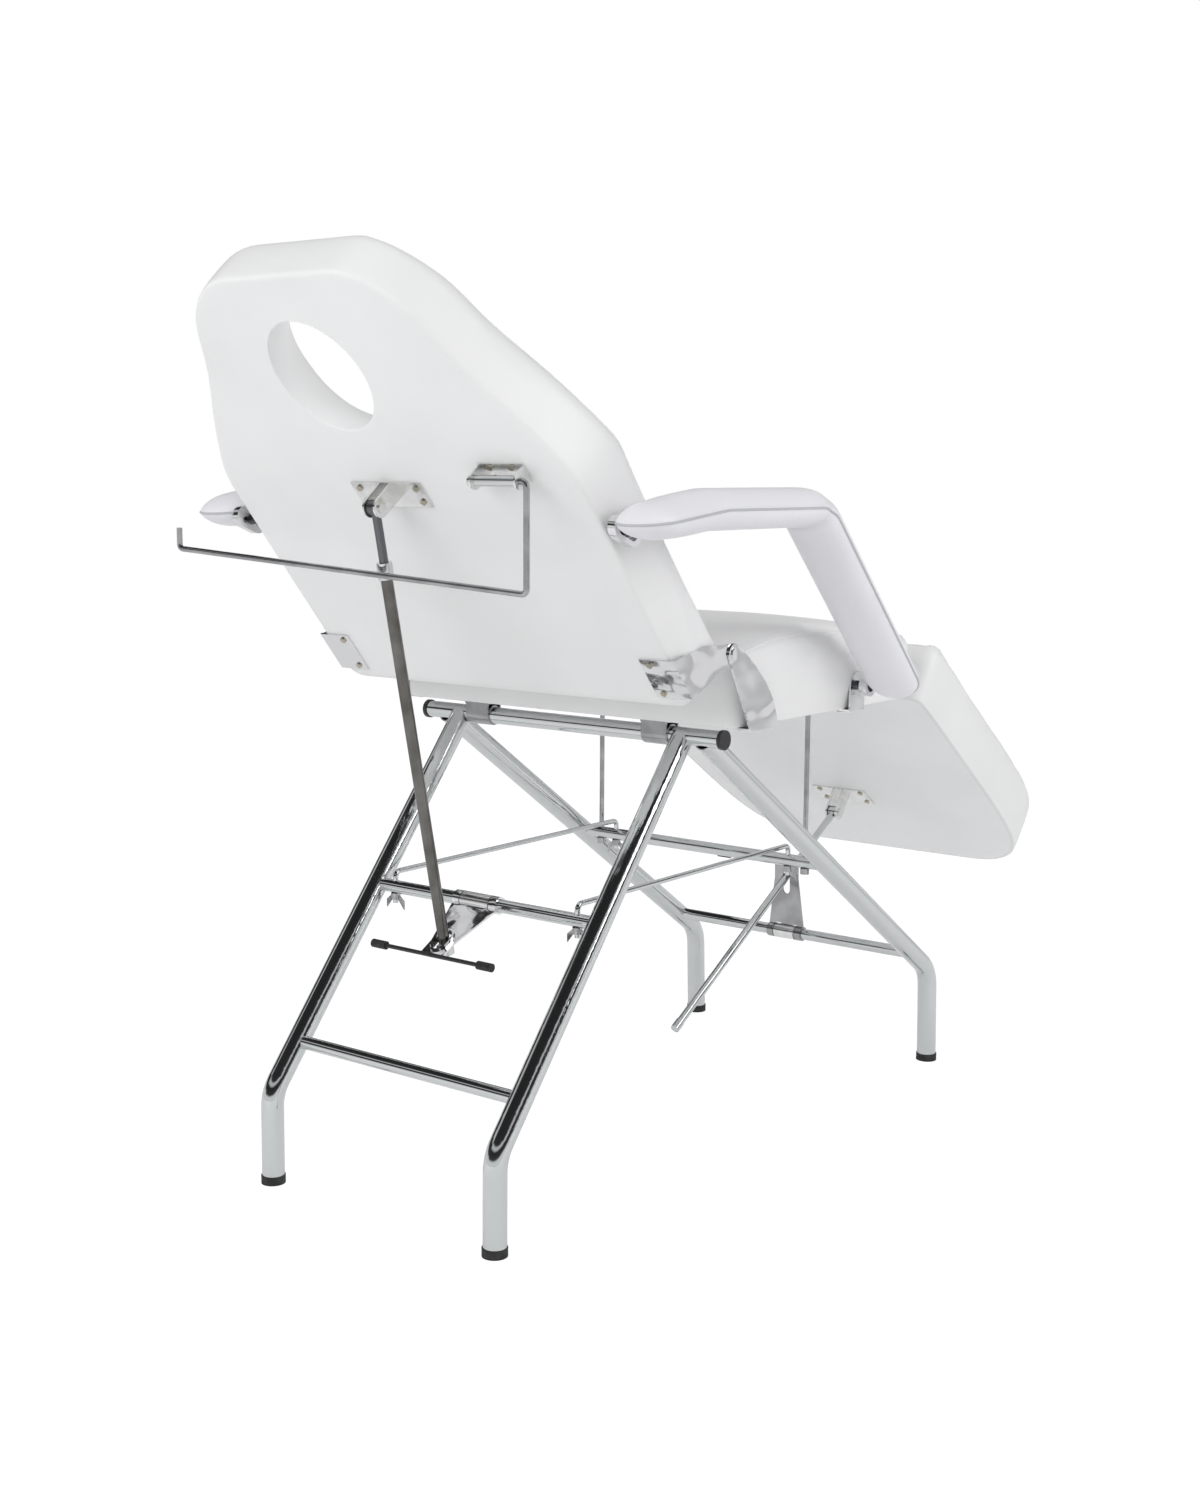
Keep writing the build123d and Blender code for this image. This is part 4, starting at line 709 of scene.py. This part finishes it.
def pad_rings(outline, low, high, back_edge, rim, bulge, crown, hole=None, lip=(0.078, 0.082),
              lean=None, shoulder_extra=0.0):
    """Rings (x, u, w) of a pad, from the middle of its back to the middle of its front. The rim is a
    quarter ellipse: rim[0] inwards, wider by the share shoulder_extra where the outline is diagonal,
    and rim[1] down."""
    count = len(outline)
    normal = outward(outline)
    centre = np.array([0.0, (outline[:, 1].min() + outline[:, 1].max()) / 2]) if hole is None else hole[0]
    if hole is None:
        inner = centre + (outline - centre) * pole_share
    else:
        around = outline - centre
        angle = np.arctan2(around[:, 1] / hole[1][1], around[:, 0] / hole[1][0])
        inner = centre + np.stack([np.cos(angle), np.sin(angle)], axis=1) * hole[1]
    rings = []
    flat = outline - normal * back_edge
    for share in back_shares:
        rings.append((inner + (flat - inner) * share, np.full(count, low)))
    for turn in np.radians(back_turns):
        inset = back_edge * (1 - math.sin(turn))
        rings.append((outline - normal * inset, np.full(count, low + back_edge * (1 - math.cos(turn)))))
    for share in np.linspace(0, 1, side_rings + 1)[1:]:
        height = low + back_edge + (high - rim[1] - low - back_edge) * share
        out = bulge * math.sin(math.pi / 2 * share) ** 0.8
        rings.append((outline + normal * out, np.full(count, height)))
    diagonal = 2 * np.abs(normal[:, 0]) * np.clip(normal[:, 1], 0, 1)
    reach_in = rim[0] * (1 + shoulder_extra * diagonal)[:, None]
    for turn in np.radians(np.linspace(0, 90, rim_rings + 1)[1:]):
        inset = reach_in * (1 - math.cos(turn)) - bulge
        rings.append((outline - normal * inset, np.full(count, high - rim[1] * (1 - math.sin(turn)))))
    edge = rings[-1][0]
    stop = inner
    if hole is not None:
        ring_out = inner - centre
        ring_out = ring_out / np.linalg.norm(ring_out, axis=1)[:, None]
        reach = lip_least + (lip[0] - lip_least) * (0.5 - 0.5 * ring_out[:, 1:])
        stop = inner + ring_out * reach
    for share in np.linspace(0, 1, front_rings + 1)[1:]:
        ring = edge + (stop - edge) * share
        if hole is None:
            rise = crown * (1 - (1 - share) ** 2.2)
        else:
            rise = crown * math.sin(math.pi * share) - hole_dish * share**2
        rings.append((ring, np.full(count, high + rise)))
    if hole is not None:
        top = rings[-1][1][0]
        for turn in np.radians(lip_turns):
            move = reach * math.sin(turn)
            rings.append((stop - ring_out * move, np.full(count, top - lip[1] * (1 - math.cos(turn)))))
        start = rings[-1][1][0]
        for share in wall_shares:
            rings.append((inner, np.full(count, start + (low - start) * share)))
    flat_points = np.stack([np.column_stack([ring, height]) for ring, height in rings])
    if lean is not None:
        flat_points[..., 2] += lean(flat_points)
    return flat_points


rim_ring = len(back_shares) + len(back_turns) + side_rings + rim_rings // 2
print("the seam follows ring", rim_ring)

# %% [markdown]
# ## From rings to a padded piece
# The rings are measured across the board, along it and out of it. The next
# helper turns them into a mesh in the bed's own frame, closes the poles with
# fans, lets it swell, and gives the back and the hole's wall their own covers.
# Points near the board are held, because the vinyl is stapled there.

# %% Helper that makes a padded piece
hold_fade = 0.02
swell_cap, swell_pressure = 0.005, 1.2


def pole_fans(rings, count, base):
    """Triangles from the first and the last ring to their middle points, numbers base and base + 1."""
    j = np.arange(count)
    last = (rings - 1) * count
    return [np.stack([(j + 1) % count, j, np.full(count, base)], axis=1),
            np.stack([last + j, last + (j + 1) % count, np.full(count, base + 1)], axis=1)]


def pad_piece(name, rings, origin, along, out, hole, replaced, body, hold_below, flip=1.0,
              back_finish="board_cover"):
    """Skin over the rings: origin plus x, u and w times the piece's own axes, swollen and softened."""
    count = rings.shape[1]
    local = rings.reshape(-1, 3)
    points = origin + local[:, :1] * np.array([flip, 0, 0]) + local[:, 1:2] * along + local[:, 2:] * out
    faces = grid_faces(len(rings), count, hole)
    fans = []
    if not hole:
        base = len(points)
        points = np.vstack([points, points[:count].mean(axis=0), points[-count:].mean(axis=0)])
        local = np.vstack([local, local[:count].mean(axis=0), local[-count:].mean(axis=0)])
        fans = pole_fans(len(rings), count, base)
    piece = new_mesh(name, points, faces, fans)
    face_out(piece)
    hold = np.clip((hold_below - local[:, 2]) / hold_fade, 0, 1)
    moved = swell(piece, hold, swell_pressure, swell_cap)
    mesh = piece.data
    for finish in (finishes["white_vinyl"], covers[back_finish], hole_cover):
        mesh.materials.append(finish)
    which = np.zeros(len(mesh.polygons), np.int32)
    which[: len(back_shares) * count] = 1
    if hole:
        which[-(len(wall_shares) + 2) * count:] = 2
    else:
        which[len(faces): len(faces) + count] = 1
    mesh.polygons.foreach_set("material_index", which)
    soften(piece)
    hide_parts(*replaced)
    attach(piece, body)
    print(name, len(mesh.vertices), "points, swelled up to", round(moved * 1000, 1), "mm")
    return piece


def ring_line(piece, count, index):
    """Finished places of one ring of a pad."""
    points = np.empty(len(piece.data.vertices) * 3)
    piece.data.vertices.foreach_get("co", points)
    return points.reshape(-1, 3)[index * count:(index + 1) * count]


print("a padded piece swells by at most", swell_cap * 1000, "mm")

# %% [markdown]
# ## Skin over the backrest
# The rings are placed in the backrest's own axes and swollen. The front falls a
# little towards the head end, where the foam is thinner, and the lip of the face
# hole is soft and wide. A thin seam follows the ring where the side meets the
# front.

# %% Make the backrest cover
around_back = 280
seam_radius, head_drop = 0.0013, 0.018


def head_fall(points):
    """The front falls towards the head end, by head_drop times the power 1.5 of the share of the way."""
    share = np.clip((points[..., 1] - 0.36) / 0.30, 0, 1)
    front = np.clip((points[..., 2] + back_depth) / back_depth, 0, 1)
    return -head_drop * share**1.5 * front


back_rings = pad_rings(backrest_outline(around_back), low=-back_depth, high=0.001, back_edge=0.006,
                       rim=(0.026, 0.036), bulge=0.0035, crown=0.009, hole=(hole_middle, hole_size),
                       lean=head_fall, shoulder_extra=0.9)
backrest_cover = pad_piece("backrest_cover", back_rings, hinge_place, back_up, back_out, True,
                           ("backrest_cushion", "backrest_board"), "backrest", hold_below=-0.080)
welt("backrest_seam", ring_line(backrest_cover, around_back, rim_ring), seam_radius, "backrest",
     finishes["white_vinyl"])

# %% [markdown]
# ## The seat cover
# The seat is a plain rounded rectangle. Its foam is a little longer than the
# board at the back, and its top is a low dome that falls to both ends. The seam
# runs just under the top edge all round.

# %% Seat measures
seat_half, seat_corner = 0.308, 0.026
seat_back_y, seat_front_y = 0.268, -0.222
seat_back_drop, seat_front_drop = 0.026, 0.027


def seat_outline(count):
    """Rounded rectangle, anticlockwise from the middle of the front."""
    r = seat_corner
    half = np.vstack([
        [(0.0, seat_front_y)],
        corner((seat_half - r, seat_front_y + r), r, -90, 0),
        corner((seat_half - r, seat_back_y - r), r, 0, 90),
        [(0.0, seat_back_y)],
    ])
    return even_ring(mirrored(half), count)


def seat_lean(points):
    """The top is a low dome along the bed, which falls to the front edge and to the back edge."""
    front = np.clip((0.03 - points[..., 1]) / 0.25, 0, 1)
    back = np.clip((points[..., 1] - 0.07) / 0.20, 0, 1)
    top = np.clip((points[..., 2] - 0.69) / 0.07, 0, 1)
    return -(seat_front_drop * front**1.8 + seat_back_drop * back**2.4) * top


print("seat", 2 * seat_half, "m wide,", seat_back_y - seat_front_y, "m long")

# %% [markdown]
# ## Skin over the seat
# The seat lies level, so its own axes are those of the room: along the bed and
# up. It has no hole, and its rings end in a small fan in the middle.

# %% Make the seat cover
around_seat = 260
seat_rings = pad_rings(seat_outline(around_seat), low=0.650, high=0.774, back_edge=0.0035,
                       rim=(0.022, 0.020), bulge=0.005, crown=0.008, lean=seat_lean)
seat_cover = pad_piece("seat_cover", seat_rings, np.zeros(3), np.array([0, 1.0, 0]),
                       np.array([0, 0, 1.0]), False, ("seat_cushion", "seat_board"), "base",
                       hold_below=0.672)
welt("seat_seam", ring_line(seat_cover, around_seat, rim_ring), seam_radius, "base",
     finishes["white_vinyl"])

# %% [markdown]
# ## The leg rest cover
# The leg rest hangs from its lower edge and narrows slightly to a rounded foot
# end. Its skin is made as the seat's, in its own tilted axes.

# %% Make the leg rest cover
leg_tilt = math.radians(35)
leg_hinge = np.array([0.0, -0.235, 0.646])
leg_down = np.array([0.0, -math.cos(leg_tilt), -math.sin(leg_tilt)])
leg_out = np.array([0.0, -math.sin(leg_tilt), math.cos(leg_tilt)])
leg_half, leg_corner, leg_near, leg_far = 0.314, 0.020, 0.006, 0.625


def leg_outline(count):
    """Half outline: flat foot, corner arc, spline along the side to the rounded end; then mirrored."""
    r = leg_corner
    arc = corner((leg_half - r, leg_near + r), r, -90, 0)
    side = smooth_line([(leg_half, 0.026), (0.310, 0.200), (0.300, 0.420), (0.290, 0.495), (0.262, 0.570),
                        (0.215, 0.612), (0.155, leg_far)], (0, 1), (-1, 0), 90)
    half = np.vstack([[(0.0, leg_near)], arc[:-1], side, [(0.0, leg_far)]])
    return even_ring(mirrored(half), count)


around_leg = 280
leg_rings = pad_rings(leg_outline(around_leg), low=0.004, high=0.110, back_edge=0.0035,
                      rim=(0.024, 0.026), bulge=0.004, crown=0.010)
# The leg rest's underside takes the brighter cover, painted light for the light from below.
leg_cover = pad_piece("leg_rest_cover", leg_rings, leg_hinge, leg_down, leg_out, False,
                      ("leg_rest_cushion", "leg_rest_board"), "leg_rest", hold_below=0.026, flip=-1.0,
                      back_finish="leg_underside_painted_light")
welt("leg_rest_seam", ring_line(leg_cover, around_leg, rim_ring), seam_radius, "leg_rest",
     finishes["white_vinyl"])

# %% [markdown]
# ## The armrests
# Each armrest is one long pad, bent once, like a figure seven. Its section is a
# soft lens: full in the middle and pinched at both sides, where the upper and
# lower covers are sewn to a piping. The skin is that section carried along the
# bent line, shrinking to nothing at both rounded ends.

# %% Helper for the bent line
arm_half, arm_thick = 0.043, 0.0265
arm_corners = np.array([(0.553, 0.938), (0.449, 0.950), (0.2014, 0.950), (-0.041, 0.704)])
arm_bend = 0.062
arc_points = 24
cap_rings = 14


def bent_line(corners, radius):
    """Straight runs joined by arcs: an arc starts the radius times the tangent of half the turn before its
    corner."""
    parts = [corners[:1]]
    for before, here, after in zip(corners[:-2], corners[1:-1], corners[2:]):
        d0 = (here - before) / np.linalg.norm(here - before)
        d1 = (after - here) / np.linalg.norm(after - here)
        turn = math.acos(float(np.clip(d0 @ d1, -1, 1)))
        back_off = radius * math.tan(turn / 2)
        side = 1.0 if d0[0] * d1[1] - d0[1] * d1[0] > 0 else -1.0
        n0 = side * np.array([-d0[1], d0[0]])
        centre = here - d0 * back_off + n0 * radius
        angle = np.linspace(0, turn, arc_points)[:, None]
        parts.append(centre - n0 * radius * np.cos(angle) + d0 * radius * np.sin(angle))
    parts.append(corners[-1:])
    return np.vstack(parts)


def arm_stations(count):
    """Places along the bent line, closer together at the ends, with the ends run out by half a width."""
    line = bent_line(arm_corners, arm_bend)
    first = (line[0] - line[1]) / np.linalg.norm(line[0] - line[1])
    last = (line[-1] - line[-2]) / np.linalg.norm(line[-1] - line[-2])
    line = np.vstack([line[0] + first * arm_half, line, line[-1] + last * arm_half])
    run = np.concatenate([[0.0], np.cumsum(np.linalg.norm(np.diff(line, axis=0), axis=1))])
    middle = np.linspace(arm_half, run[-1] - arm_half, count - 2 * cap_rings)
    cap = arm_half * (1 - np.cos(np.linspace(0, np.pi / 2, cap_rings + 1)[1:]))
    at = np.concatenate([cap[:-1], middle, run[-1] - cap[:-1][::-1]])
    place = np.stack([np.interp(at, run, line[:, i]) for i in range(2)], axis=1)
    end = np.minimum(at, run[-1] - at)
    size = np.sqrt(np.clip(1 - (1 - np.clip(end / arm_half, 0, 1)) ** 2, 0, 1))
    return place, size, at


print("armrest line has", len(bent_line(arm_corners, arm_bend)), "points")

# %% [markdown]
# ## Skin of an armrest
# A crease is pressed into the lower cover across the bend, where the vinyl is
# folded, and the pad gets thinner towards its head end. The cloth run is held at
# the crease and along both seams, and a round piping then follows the seams. The
# piping's darker grey is painted shade for the shadow in the creases beside it.

# %% Make the armrest pads
arm_side = 0.373
along_arm, around_arm, piping_points = 150, 56, 420
wide_power, tall_power = 0.92, 1.12
crease_depth, crease_reach, crease_hold = 0.010, 0.007, 0.012
thin_run, thin_share = 0.11, 0.42
arm_cap, arm_pressure = 0.003, 1.5
piping_radius = 0.0017


def arm_pad(name, hand, body, node, seam_name):
    """Lens section, a power of the cosine wide and a power of the sine tall, carried along the bent line."""
    place, size, at = arm_stations(along_arm)
    tangent = np.gradient(place, axis=0)
    tangent /= np.linalg.norm(tangent, axis=1)[:, None]
    up_dir = np.stack([-tangent[:, 1], tangent[:, 0]], axis=1)
    up_dir *= np.where(up_dir[:, 1:] < 0, -1.0, 1.0)
    count = around_arm
    angle = np.linspace(0, 2 * np.pi, count, endpoint=False)
    wide = np.sign(np.cos(angle)) * np.abs(np.cos(angle)) ** wide_power
    tall = np.sign(np.sin(angle)) * np.abs(np.sin(angle)) ** tall_power
    bend_at = np.argmin(np.linalg.norm(place - arm_corners[2], axis=1))
    gap = np.abs(at - at[bend_at])
    crease = crease_depth * np.exp(-((gap / crease_reach) ** 2))
    taper = np.sqrt(1 - (1 - np.clip(at / thin_run, 0, 1)) ** 2)
    thick = arm_thick * size * (thin_share + (1 - thin_share) * taper)
    under = tall < 0
    lift = thick[:, None] * tall[None] + np.where(under[None], crease[:, None] * np.abs(tall)[None], 0)
    x = hand * (arm_side + (arm_half * size - 0.35 * crease)[:, None] * wide[None])
    y = place[:, :1] + up_dir[:, :1] * lift
    z = place[:, 1:] + up_dir[:, 1:] * lift
    rings = np.stack([x, y, z], axis=-1)
    points = rings.reshape(-1, 3)
    base = len(points)
    points = np.vstack([points, rings[0].mean(axis=0), rings[-1].mean(axis=0)])
    piece = new_mesh(name, points, grid_faces(len(place), count, False), pole_fans(len(place), count, base))
    face_out(piece)
    hold = np.repeat(0.9 * np.exp(-((gap / crease_hold) ** 2)), count)
    seam_hold = np.tile(np.clip(1 - np.abs(np.sin(angle)) * 5, 0, 1), len(place))
    hold = np.concatenate([np.maximum(hold, seam_hold), [1.0, 1.0]])
    moved = swell(piece, hold, arm_pressure, arm_cap)
    piece.data.materials.append(finishes["armrest_vinyl"])
    soften(piece)
    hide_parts(node)
    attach(piece, body)
    done = np.empty(len(piece.data.vertices) * 3)
    piece.data.vertices.foreach_get("co", done)
    done = done.reshape(-1, 3)[:base].reshape(len(place), count, 3)
    seam = np.vstack([done[:, 0], done[::-1, count // 2]])
    # The piping gets the darker grey, painted shade for the shadow in the creases beside it.
    welt(seam_name, even_ring(seam, piping_points), piping_radius, body, piping_painted_shade)
    print(name, "swelled up to", round(moved * 1000, 1), "mm")


arm_pad("armrest_left", -1.0, "armrest_left", "armrest_pad_left", "armrest_piping_left")
arm_pad("armrest_right", 1.0, "armrest_right", "armrest_pad_right", "armrest_piping_right")
